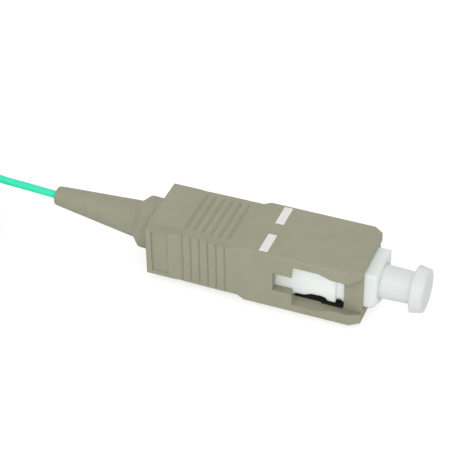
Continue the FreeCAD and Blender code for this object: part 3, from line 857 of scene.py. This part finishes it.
def lathe(
    name: str,
    outline: Sequence[Pair],
    segments: int,
    warp: Callable[[Vector], Vector] = Vector,
) -> bpy.types.Mesh:
    """Turn an outline round the X axis.

    Args:
        name: Name of the mesh.
        outline: Points of place along the axis and radius, in millimetres. Ends of radius 0
            close on the axis, and other ends join each other.
        segments: Number of steps round the axis.
        warp: Function that moves each point afterwards.

    Returns:
        The turned mesh.
    """

    def fill(made: bmesh.types.BMesh) -> None:
        """Draw the rings and join them.

        Args:
            made: Empty mesh to draw into.
        """
        rings: list[Ring] = []
        for x, radius in outline:
            count = segments if radius > 1e-6 else 1
            turns = [2 * math.pi * i / count for i in range(count)]
            ring = [Vector((x, radius * math.cos(a), radius * math.sin(a))) for a in turns]
            rings.append([made.verts.new(warp(point) * MM) for point in ring])
        join_rings(made, rings, len(rings[0]) > 1 and len(rings[-1]) > 1)

    return mesh_from(name, fill)


def swept_wire(
    name: str, path: Sequence[Vector], radius: float, segments: int = 14
) -> bpy.types.Mesh:
    """Round wire along a path, with flat ends.

    Args:
        name: Name of the mesh.
        path: Points of the centre line, in millimetres.
        radius: Radius of the wire, in millimetres.
        segments: Number of steps round the wire.

    Returns:
        The wire's mesh.
    """

    def fill(made: bmesh.types.BMesh) -> None:
        """Draw the rings, join them and close the ends.

        Args:
            made: Empty mesh to draw into.
        """
        rings: list[Ring] = []
        for i, point in enumerate(path):
            heading = (path[min(i + 1, len(path) - 1)] - path[max(i - 1, 0)]).normalized()
            outward = Vector((0, point.y, point.z)).normalized()
            side = heading.cross(outward).normalized()
            up = side.cross(heading)
            ring = []
            for k in range(segments):
                a = 2 * math.pi * k / segments
                arm = (side * math.cos(a) + up * math.sin(a)) * radius
                ring.append(made.verts.new((point + arm) * MM))
            rings.append(ring)
        join_rings(made, rings, False)
        made.faces.new(rings[0])
        made.faces.new(rings[-1])

    return mesh_from(name, fill, 50.0)


# --------------------------------------------------------------------------
# studio
# --------------------------------------------------------------------------
def outlook(azimuth: float, elevation: float) -> Vector:
    """Direction from the connector to a place round it.

    Args:
        azimuth: Angle from the front of the scene round the upright axis, in radians.
        elevation: Angle above the level, in radians.

    Returns:
        The direction, of length 1.
    """
    level = math.cos(elevation)
    return Vector((math.sin(azimuth) * level, -math.cos(azimuth) * level, math.sin(elevation)))


@dataclass
class Lamp:
    """A soft rectangular lamp that looks at the connector, in metres and watts."""

    name: str
    azimuth: float
    elevation: float
    distance: float
    width: float
    power: float
    aspect: float = 0.7

    def hang(self, target: Vector) -> None:
        """Put the lamp up.

        Args:
            target: Point that it looks at, in metres.
        """
        back = outlook(math.radians(self.azimuth), math.radians(self.elevation))
        data = bpy.data.lights.new(self.name, "AREA")
        data.shape = "RECTANGLE"
        data.size = self.width
        data.size_y = self.width * self.aspect
        data.energy = self.power
        lamp = bpy.data.objects.new(self.name, data)
        lamp.location = target + back * self.distance
        lamp.rotation_mode = "QUATERNION"
        lamp.rotation_quaternion = (-back).to_track_quat("-Z", "Y")
        bpy.context.collection.objects.link(lamp)


@dataclass
class Studio:
    """Camera, lamps, sky and the pale floor."""

    azimuth: float = 21.99
    elevation: float = 38.51
    roll: float = -0.71
    distance: float = 198.5
    lens: float = 133.6
    target: Point = (-16.85, 1.73, 0.0)
    floor_z: float = -4.36
    floor_reach: float = 3000.0
    floor_tone: float = 0.86
    seen_floor_tone: float = 0.45
    seen_floor_glow: float = 0.72
    sky: float = 0.62
    lamps: list[Lamp] = field(
        default_factory=lambda: [
            Lamp("Key_Lamp", 10.0, 44.0, 0.45, 0.34, 0.56),
            Lamp("Front_Lamp", 38.0, 12.0, 0.5, 0.3, 0.28),
            Lamp("Fill_Lamp", -62.0, 30.0, 0.5, 0.3, 0.14),
            Lamp("Rim_Lamp", 158.0, 50.0, 0.5, 0.3, 0.13),
        ]
    )

    def camera(self) -> None:
        """Put the camera where the connector is seen from its front and above."""
        a, e, r = (math.radians(v) for v in (self.azimuth, self.elevation, self.roll))
        back = outlook(a, e)
        right = Vector((math.cos(a), math.sin(a), 0.0))
        up = back.cross(right)
        across = right * math.cos(r) + up * math.sin(r)
        upward = up * math.cos(r) - right * math.sin(r)
        data = bpy.data.cameras.new("Camera")
        data.sensor_width = 36.0
        data.lens = self.lens
        data.clip_start = 0.01
        data.clip_end = 20.0
        camera = bpy.data.objects.new("Camera", data)
        turned = Matrix((across, upward, back)).transposed()
        camera.rotation_mode = "QUATERNION"
        camera.rotation_quaternion = turned.to_quaternion()
        camera.location = (Vector(self.target) + back * self.distance) * MM
        bpy.context.collection.objects.link(camera)
        bpy.context.scene.camera = camera

    def world(self) -> None:
        """White sky for what looks at it, and a plain soft light for the rest."""
        world = bpy.data.worlds.new("Studio_Sky")
        bpy.context.scene.world = world
        g = Graph(world, "ShaderNodeOutputWorld")
        rays = ("Is Camera Ray", "Is Transmission Ray", "Is Glossy Ray")
        straight, through, mirrored = (g.node("ShaderNodeLightPath", {}, {}, r) for r in rays)
        seen = straight.larger(through).larger(mirrored)
        light = g.node("ShaderNodeBackground", {}, {"Color": WHITE, "Strength": self.sky})
        white = g.node("ShaderNodeBackground", {}, {"Color": WHITE, "Strength": 1.0})
        g.finish(g.node("ShaderNodeMixShader", {}, {0: seen, 1: light, 2: white}))

    def floor_finish(self) -> bpy.types.Material:
        """Build the floor's finish, which keeps shadows and glows a little where it is seen.

        Returns:
            The finished material.
        """
        g = Graph(bpy.data.materials.new("Pale_Floor"))
        seen = g.node("ShaderNodeLightPath", {}, {}, "Is Camera Ray")
        shade, half = (
            g.node("ShaderNodeBsdfDiffuse", {}, {"Color": (tone, tone, tone)})
            for tone in (self.floor_tone, self.seen_floor_tone)
        )
        inputs = {"Color": WHITE, "Strength": self.seen_floor_glow}
        glow = g.node("ShaderNodeEmission", {}, inputs)
        lit = g.node("ShaderNodeAddShader", {}, {0: half, 1: glow})
        return g.finish(g.node("ShaderNodeMixShader", {}, {0: seen, 1: shade, 2: lit}))

    def floor(self) -> None:
        """Lay the pale floor that the key and the coil rest on."""

        def fill(made: bmesh.types.BMesh) -> None:
            """Draw one wide square.

            Args:
                made: Empty mesh to draw into.
            """
            r = self.floor_reach
            corners = [(-r, -r), (r, -r), (r, r), (-r, r)]
            z = self.floor_z * MM
            made.faces.new([made.verts.new((x * MM, y * MM, z)) for x, y in corners])

        mesh = mesh_from("Floor", fill)
        mesh.materials.append(self.floor_finish())
        floor = bpy.data.objects.new("Floor", mesh)
        bpy.context.collection.objects.link(floor)

    def build(self) -> None:
        """Set up everything round the connector."""
        self.camera()
        self.world()
        self.floor()
        for lamp in self.lamps:
            lamp.hang(Vector(self.target) * MM)
        bpy.context.scene.view_settings.view_transform = "Standard"


# --------------------------------------------------------------------------
# pigtail
# --------------------------------------------------------------------------
@dataclass
class Pigtail:
    """Buffered fibre: a free stretch behind the boot, then a neat tied coil.

    Attributes:
        route: Control points of the free stretch, from the boot's tip.
        centre: Place of the coil's axis along and across the scene.
        outer_line: Radius of the outermost turn's centre line.
        step_points: Control points over which a turn steps to the next one's place.
        tie_slack: Thickness that the tape gives up, so that it stays off the turns.
    """

    palette: Palette
    diameter: float = 0.9
    length: float = 963.0
    route: tuple[Point, ...] = (
        (-38.472, 0.0, 1.123),
        (-41.666, 0.0, 1.33),
        (-46.6, 0.0, 1.5),
        (-48.9, 0.12, 2.603),
        (-51.372, 0.07, 2.6),
    )
    centre: Pair = (-51.372, -6.075)
    base: float = -4.15
    rows: int = 8
    columns: int = 4
    outer_line: float = 6.075
    entry_angle: float = 100.0
    points_per_turn: int = 18
    step_points: int = 3
    tie_width: float = 1.6
    tie_thickness: float = 0.2
    tie_slack: float = 0.04
    tie_flat: float = 0.94
    tie_corner: float = 0.32
    tie_steps: int = 6
    tie_angles: tuple[float, ...] = (150.0, 330.0)

    def lay(self, turn: int) -> Pair:
        """Place of one turn in the coil's section.

        Args:
            turn: Number of the turn, from the outside.

        Returns:
            Radius and height of its centre line.
        """
        turn = min(turn, self.rows * self.columns - 1)
        column, row = divmod(turn, self.rows)
        level = row if column % 2 else self.rows - 1 - row
        return self.outer_line - column * self.diameter, self.base + (level + 0.5) * self.diameter

    def turns(self) -> list[Point]:
        """Control points of the wound turns.

        Returns:
            Points from the side of the coil inwards. Each turn steps over where the last
            one ends.
        """
        points = []
        n = self.points_per_turn
        # A curve of order 3 takes 3/4 of the nearest control point and 1/8 of each
        # neighbour, so it runs inside them, and they are set out by as much.
        swell = 1 / (0.75 + 0.25 * math.cos(2 * math.pi / n))
        cx, cy = self.centre
        first = round(self.entry_angle / 360 * n)
        for k in range(first, self.rows * self.columns * n + self.step_points):
            turn, place = divmod(k - self.step_points, n)
            radius, z = self.lay(max(turn, 0))
            left = place - (n - self.step_points)
            if left > 0 and turn >= 0:
                share = left / self.step_points
                next_radius, next_z = self.lay(turn + 1)
                radius += (next_radius - radius) * share
                z += (next_z - z) * share
            a = 2 * math.pi * k / n
            reach = radius * swell
            points.append((cx + reach * math.cos(a), cy + reach * math.sin(a), z))
        return points

    def cord(self) -> bpy.types.Object:
        """Lay the fibre along its route and round its coil.

        Returns:
            The fibre, as one smooth curve.
        """
        points = [*self.route, *self.turns()]
        data = bpy.data.curves.new("pigtail_fibre", "CURVE")
        data.dimensions = "3D"
        data.bevel_depth = self.diameter / 2 * MM
        data.bevel_resolution = 5
        data.resolution_u = 4
        data.use_fill_caps = True
        spline = data.splines.new("NURBS")
        spline.points.add(len(points) - 1)
        for point, place in zip(spline.points, points):
            point.co = (*(v * MM for v in place), 1.0)
        spline.order_u = 3
        spline.use_endpoint_u = True
        data.materials.append(self.palette.buffer)
        fibre = bpy.data.objects.new("pigtail_fibre", data)
        bpy.context.collection.objects.link(fibre)
        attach(fibre, "plug")
        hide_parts("cable", "cable_coil")
        LOG.info("pigtail_fibre: %d points", len(points))
        return fibre

    def tie_loop(self) -> list[Vector]:
        """Corners of a tie's centre line round the coil's section.

        Returns:
            Points of distance from the coil's axis and height, in millimetres.
        """
        t = self.tie_thickness / 2
        outer = self.outer_line + self.diameter / 2 + t
        inner = self.outer_line + self.diameter / 2 - self.columns * self.diameter - t
        low, high = self.base - t, self.base + self.rows * self.diameter + t
        return [Vector(p) for p in ((inner, low), (outer, low), (outer, high), (inner, high))]

    def tie_path(self) -> list[Vector]:
        """Centre line of a tie, with bends at its corners.

        Returns:
            Points of one closed loop.
        """
        loop = self.tie_loop()
        path: list[Vector] = []
        for i, here in enumerate(loop):
            before, after = loop[i - 1], loop[(i + 1) % len(loop)]
            start = here + (before - here).normalized() * self.tie_corner
            end = here + (after - here).normalized() * self.tie_corner
            path += bent(start, here, end, self.tie_steps)
            next_start = after + (here - after).normalized() * self.tie_corner
            for k in range(1, self.tie_steps):
                path.append(end.lerp(next_start, k / self.tie_steps))
        return path

    def tie_section(self) -> list[Pair]:
        """Section of the tape.

        Returns:
            Points of place across the tape and height on it, with its edges thinned.
        """
        w, h = self.tie_width / 2, (self.tie_thickness - self.tie_slack) / 2
        flat, thin = w * self.tie_flat, h * 0.5
        lower = [(-w, -thin), (-flat, -h), (flat, -h), (w, -thin)]
        return lower + [(-across, -lift) for across, lift in lower]

    def tie(self, index: int) -> bpy.types.Object:
        """Wrap one tape round the coil's section.

        Args:
            index: Number of the tie, from 0.

        Returns:
            The tape.
        """
        path, section = self.tie_path(), self.tie_section()
        middle = sum(self.tie_loop(), Vector((0.0, 0.0))) / 4
        angle = math.radians(self.tie_angles[index])
        cx, cy = self.centre

        def fill(made: bmesh.types.BMesh) -> None:
            """Draw the tape's section along its loop.

            Args:
                made: Empty mesh to draw into.
            """
            rings: list[Ring] = []
            for i, point in enumerate(path):
                heading = (path[(i + 1) % len(path)] - path[i - 1]).normalized()
                outward = Vector((heading.y, -heading.x))
                if outward.dot(point - middle) < 0:
                    outward.negate()
                ring = []
                for side, lift in section:
                    place = point + outward * lift
                    x = place.x * math.cos(angle) - side * math.sin(angle)
                    y = place.x * math.sin(angle) + side * math.cos(angle)
                    ring.append(made.verts.new(Vector((cx + x, cy + y, place.y)) * MM))
                rings.append(ring)
            join_rings(made, rings, True)

        name = f"tape_{index + 1}"
        piece = add_piece(name, mesh_from(name, fill), self.palette.tape, "plug")
        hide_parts(f"coil_tie_{index + 1}")
        return piece

    def build(self) -> None:
        fibre = self.cord()
        ties = [self.tie(i) for i in range(len(self.tie_angles))]


# --------------------------------------------------------------------------
# boot and dust cap
# --------------------------------------------------------------------------
@dataclass
class Boot:
    """Flexible strain relief that leans up behind the housing."""

    palette: Palette
    lean: float = 3.4
    lift: float = 0.18
    pivot: float = -22.6
    tip: float = -38.4
    collar_front: float = -25.3
    collar_rear: float = -27.06
    flare_rear: float = -27.96
    collar_radius: float = 3.06
    root_radius: float = 2.17
    tip_radius: float = 1.12
    neck_radius: float = 2.12
    neck_front: float = -20.76
    neck_bend: float = 0.2
    tip_length: float = 0.9
    tip_draft: float = 0.03
    barrel_radius: float = 1.7
    bore_radius: float = 0.5

    def bend(self, point: Vector) -> Vector:
        """Lean a point about the pivot.

        Args:
            point: Point on the straight boot, in millimetres.

        Returns:
            The same point on the leaning boot.
        """
        back = self.pivot - point.x
        a = math.radians(self.lean)
        x = self.pivot - back * math.cos(a) + point.z * math.sin(a)
        return Vector((x, point.y, self.lift + point.z * math.cos(a) + back * math.sin(a)))

    def build(self) -> None:
        """Turn the boot and lean it."""
        taper = (self.root_radius - self.tip_radius) / (self.flare_rear - self.tip)
        tip_front_radius = self.tip_radius + taper * self.tip_length
        corners = [
            (self.pivot, self.bore_radius, 0.0),
            (self.tip, self.bore_radius, 0.0),
            (self.tip, self.tip_radius - self.tip_draft, 0.3),
            (self.tip + self.tip_length, tip_front_radius, 0.4),
            (self.flare_rear, self.root_radius, 0.3),
            (self.collar_rear, self.collar_radius, 0.3),
            (self.collar_front, self.collar_radius, 0.12),
            (self.collar_front, self.neck_radius, 0.1),
            (self.pivot + self.neck_bend, self.neck_radius, 0.0),
            (self.neck_front, self.neck_radius, 0.15),
            (self.neck_front, self.barrel_radius, 0.0),
            (self.pivot, self.barrel_radius, 0.0),
        ]
        mesh = lathe("boot_sleeve", rounded_profile(corners, 6), 88, self.bend)
        piece = add_piece("boot_sleeve", mesh, self.palette.boot, "plug")
        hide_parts("boot")


@dataclass
class DustCap:
    """Soft cap with a pull rim, pushed onto the ferrule."""

    palette: Palette
    rear: float = -2.4
    nose: float = 1.4
    collar_length: float = 0.5
    collar_radius: float = 2.06
    shaft_front: float = 5.0
    rim_front: float = 6.42
    shaft_radius: float = 1.9
    shaft_front_radius: float = 1.82
    rim_radius: float = 2.72
    rim_front_radius: float = 2.46
    bore_radius: float = 1.262
    bore_end: float = 4.6

    def build(self) -> None:
        """Turn the cap."""
        collar_rear = self.nose - self.collar_length
        corners = [
            (self.bore_end, 0.0, 0.0),
            (self.bore_end, self.bore_radius, 0.2),
            (self.rear, self.bore_radius, 0.15),
            (self.rear, self.shaft_radius, 0.15),
            (collar_rear, self.shaft_radius, 0.0),
            (collar_rear, self.collar_radius, 0.06),
            (self.nose, self.collar_radius, 0.05),
            (self.nose, self.shaft_radius, 0.04),
            (self.shaft_front, self.shaft_front_radius, 0.22),
            (self.shaft_front, self.rim_radius, 0.12),
            (self.rim_front, self.rim_front_radius, 0.16),
            (self.rim_front, 0.0, 0.0),
        ]
        mesh = lathe("ferrule_cap", rounded_profile(corners, 5), 80)
        piece = add_piece("ferrule_cap", mesh, self.palette.cap, "cap")
        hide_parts("dust_cap")


# --------------------------------------------------------------------------
# spring, housing and carried pieces
# --------------------------------------------------------------------------
@dataclass
class SpringCoil:
    """Compression spring with closed ends behind the ferrule's flange."""

    palette: Palette
    rear: float = -13.6
    front: float = -7.7
    wire: float = 0.45
    mean_radius: float = 1.455
    turns: float = 6.5
    closed_turn: float = 0.9
    closed_pitch: float = 0.98
    steps: int = 220

    def build(self) -> None:
        """Wind the wire with its last turns closed."""
        low, high = self.rear + self.wire / 2, self.front - self.wire / 2
        closed = self.wire * self.closed_pitch
        end = self.closed_turn
        live_turns = self.turns - 2 * end
        path = []
        for i in range(self.steps + 1):
            turn = self.turns * i / self.steps
            live = min(max(turn - end, 0.0), live_turns) / live_turns
            ends = (min(turn, end) + max(turn - self.turns + end, 0.0)) / (2 * end)
            x = low + ends * closed + live * (high - low - closed)
            a = 2 * math.pi * turn
            path.append(Vector((x, self.mean_radius * math.cos(a), self.mean_radius * math.sin(a))))
        mesh = swept_wire("spring_coil", path, self.wire / 2)
        piece = add_piece("spring_coil", mesh, self.palette.wire, "plug")
        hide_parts("ferrule_spring")
        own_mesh(piece)


@dataclass
class OuterHousing:
    """Push-pull housing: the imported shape, with the relief of its grip worked finer.

    Attributes:
        crisp_angle: Edges sharper than this many degrees stay crisp.
        cuts_across: Places of the cuts across a valley, as shares of its half width.
        cuts_along: Places of the cuts along a valley, as shares of its fading end.
        valley_least: Share of the full depth that is left at a valley's very end.
        groove_depths: Depths between which a corner counts as a groove's floor.
        scoop_plain: Height up to which the finger scoop keeps its full depth.
    """

    palette: Palette
    grip_face: float = 3.39
    grip_side: float = 4.33
    edge_radius: float = 0.22
    waist: float = 0.2
    rib_rear: float = -20.9
    ramp_rear: float = -14.3
    pitch: float = 1.03
    valleys: int = 6
    valley_half: float = 0.35
    valley_reach: float = 3.58
    valley_depth: float = 0.24
    valley_deepest: float = 0.3
    valley_least: float = 0.04
    valley_fade: float = 0.95
    valley_fade_plain: float = 0.5
    cuts_across: tuple[float, ...] = (0.2, 0.4, 0.6, 0.8)
    cuts_along: tuple[float, ...] = (0.12, 0.28, 0.45, 0.65, 1.0)
    grooves: int = 5
    groove_half: float = 0.13
    groove_depths: Pair = (0.03, 0.25)
    groove_relief: float = 0.75
    groove_run: float = 0.35
    groove_run_from: float = 3.0
    scoop_rear: float = -22.5
    scoop_side: float = 3.8
    scoop_plain: float = 2.5
    cavity_side: float = 3.1
    slot_rear: float = -9.97
    slot_half: float = 1.2
    slot_undercut: float = 0.22
    slot_flare: float = 0.38
    window_rear: float = -7.7
    window_clear: float = 2.35
    window_undercut: float = 0.4
    crisp_angle: float = 28.0

    def crest(self, x: float) -> float:
        """Half width of the waisted grip at a place along it."""
        share = (x - self.rib_rear) / (self.ramp_rear - self.rib_rear)
        return self.grip_side - self.waist * (1 - share)

    def cut(
        self,
        made: bmesh.types.BMesh,
        inside: Callable[[Vector], bool],
        axis: Axis,
        place: float,
    ) -> None:
        """Divide the faces of a region along a plane.

        Args:
            made: The housing's mesh.
            inside: Test for the region, on a corner in millimetres.
            axis: Axis that the plane stands across.
            place: Place of the plane on that axis, in millimetres.
        """
        across, at = Vector(), Vector()
        across[axis], at[axis] = 1.0, place
        faces = [f for f in made.faces if all(inside(v.co / MM) for v in f.verts)]
        around = {e for f in faces for e in f.edges} | {v for f in faces for v in f.verts}
        bmesh.ops.bisect_plane(
            made, geom=[*faces, *around], dist=1e-8, plane_co=at * MM, plane_no=across
        )

    def soften_valley(self, made: bmesh.types.BMesh, middle: float, side: Face) -> None:
        """Turn one valley of the grip into a shallow wave that fades towards its ends.

        Args:
            made: The housing's mesh.
            middle: Place of the valley along the housing.
            side: Face that the valley lies in.
        """
        slack = 0.002
        half, reach = self.valley_half + slack, self.valley_reach + slack

        def fade(y: float) -> float:
            """Length over which the valley runs out, longer at the bevelled edge."""
            return self.valley_fade if y * side < 0 else self.valley_fade_plain

        def inside(p: Vector) -> bool:
            """Whether a corner belongs to the valley."""
            over = abs(p.x - middle) < half and abs(p.y) < reach
            return over and -slack < self.grip_face - side * p.z < self.valley_deepest

        for share in self.cuts_across:
            for way in (1, -1):
                self.cut(made, inside, Axis.X, middle + way * share * self.valley_half)
        for share in self.cuts_along:
            for way in (1, -1):
                self.cut(made, inside, Axis.Y, way * (self.valley_reach - share * fade(way)))
        for v in made.verts:
            p = v.co / MM
            if inside(p) and self.grip_face - side * p.z > slack:
                across = min(abs(p.x - middle) / self.valley_half, 1.0)
                along = min(max((self.valley_reach - abs(p.y)) / fade(p.y), 0.0), 1.0)
                wave = 0.5 + 0.5 * math.cos(math.pi * across)
                ease = max(along * along * (3 - 2 * along), self.valley_least)
                v.co.z = side * (self.grip_face - self.valley_depth * wave * ease) * MM

    def soften_grooves(self, made: bmesh.types.BMesh) -> None:
        """Make the side grooves shallower, with ends that run out.

        Args:
            made: The housing's mesh.
        """
        shallow, deep = self.groove_depths
        for v in made.verts:
            p = v.co / MM
            for i in range(1, self.grooves + 1):
                middle = self.rib_rear + i * self.pitch
                depth = self.crest(p.x) - abs(p.y)
                near = abs(p.x - middle) < self.groove_half and abs(p.z) < self.grip_face
                if near and shallow < depth < deep:
                    relieved = self.crest(p.x) - depth * self.groove_relief
                    v.co.y = math.copysign(relieved, p.y) * MM
                    if abs(p.z) > self.groove_run_from and p.y * p.z > 0:
                        v.co.z = math.copysign(abs(p.z) - self.groove_run, p.z) * MM

    def mend_scoop(self, made: bmesh.types.BMesh) -> None:
        """Let the finger scoop run out before the two edges that have no facet.

        Args:
            made: The housing's mesh.
        """
        slack = 0.01
        front = self.rib_rear + self.groove_half + slack

        def inside(p: Vector) -> bool:
            """Whether a corner belongs to the scoop."""
            beside = self.scoop_side < abs(p.y) < self.grip_side + slack
            return self.scoop_rear - slack < p.x < front and beside

        for way in (1, -1):
            self.cut(made, inside, Axis.Z, way * self.scoop_plain)
        edge = self.grip_side - self.edge_radius
        for v in made.verts:
            p = v.co / MM
            at_face = abs(p.z) > self.grip_face - slack / 2
            if inside(p) and p.y * p.z > 0 and at_face and abs(p.y) < edge:
                v.co.y = math.copysign(edge, p.y) * MM

    def undercut_windows(self, made: bmesh.types.BMesh) -> None:
        """Slope the walls of the slots and windows back, as a mould's side cores leave them.

        Args:
            made: The housing's mesh.
        """
        near = 0.02
        for v in made.verts:
            p = v.co / MM
            between = self.slot_rear - near < p.x < self.window_rear + near
            if abs(abs(p.y) - self.cavity_side) > near or not between:
                continue
            if abs(p.x - self.window_rear) < near and abs(p.z) < self.window_clear:
                v.co.x -= self.window_undercut * MM
            elif abs(p.x - self.slot_rear) < near:
                v.co.x -= self.slot_undercut * MM
            if abs(abs(p.z) - self.slot_half) < near:
                v.co.z += math.copysign(self.slot_flare, p.z) * MM

    def build(self) -> None:
        """Work the copy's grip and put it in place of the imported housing."""
        made = bmesh.new()
        made.from_mesh(bpy.data.objects["outer_housing"].data)
        bmesh.ops.remove_doubles(made, verts=made.verts, dist=1e-7)
        for side in Face:
            for i in range(self.valleys):
                self.soften_valley(made, self.rib_rear + i * self.pitch, side)
        self.soften_grooves(made)
        self.mend_scoop(made)
        self.undercut_windows(made)
        bmesh.ops.dissolve_degenerate(made, dist=1e-7, edges=made.edges)
        bmesh.ops.triangulate(made, faces=[f for f in made.faces if len(f.verts) > 4])
        mesh = finished_mesh("push_pull_housing", made, self.crisp_angle)
        piece = add_piece("push_pull_housing", mesh, self.palette.housing, "grip")
        even = piece.modifiers.new("Even_Normals", "WEIGHTED_NORMAL")
        even.keep_sharp = True
        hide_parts("outer_housing")


@dataclass
class CarriedParts:
    """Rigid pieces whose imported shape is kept, each with its own finish."""

    palette: Palette

    def finishes(self) -> dict[str, bpy.types.Material]:
        """Choose the finish of each kept piece.

        Returns:
            The finishes, by the names of the pieces.
        """
        p = self.palette
        return {
            "position_mark_left": p.mark,
            "position_mark_right": p.mark,
            "plug_frame": p.frame,
            "ferrule": p.ceramic,
            "bare_fibre": p.glass,
            "ferrule_flange": p.metal,
            "stop_body": p.stop,
            "inner_lead": p.buffer,
        }

    def build(self) -> None:
        """Give every kept piece its finish."""
        for node, material in self.finishes().items():
            piece = bpy.data.objects[node]
            if not piece.material_slots:
                piece.data.materials.append(material)
            for place in piece.material_slots:
                place.material = material
            LOG.info("%s: %s", node, material.name)


def main() -> None:
    """Build the studio and every sub-assembly, in order."""
    logging.basicConfig(level=logging.INFO, format="%(name)s %(message)s")
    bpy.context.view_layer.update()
    Studio().build()
    palette = Palette()
    for assembly in (
        Pigtail(palette),
        CarriedParts(palette),
        OuterHousing(palette),
        Boot(palette),
        DustCap(palette),
        SpringCoil(palette),
    ):
        assembly.build()
    bpy.context.view_layer.update()


if __name__ == "__main__":
    main()
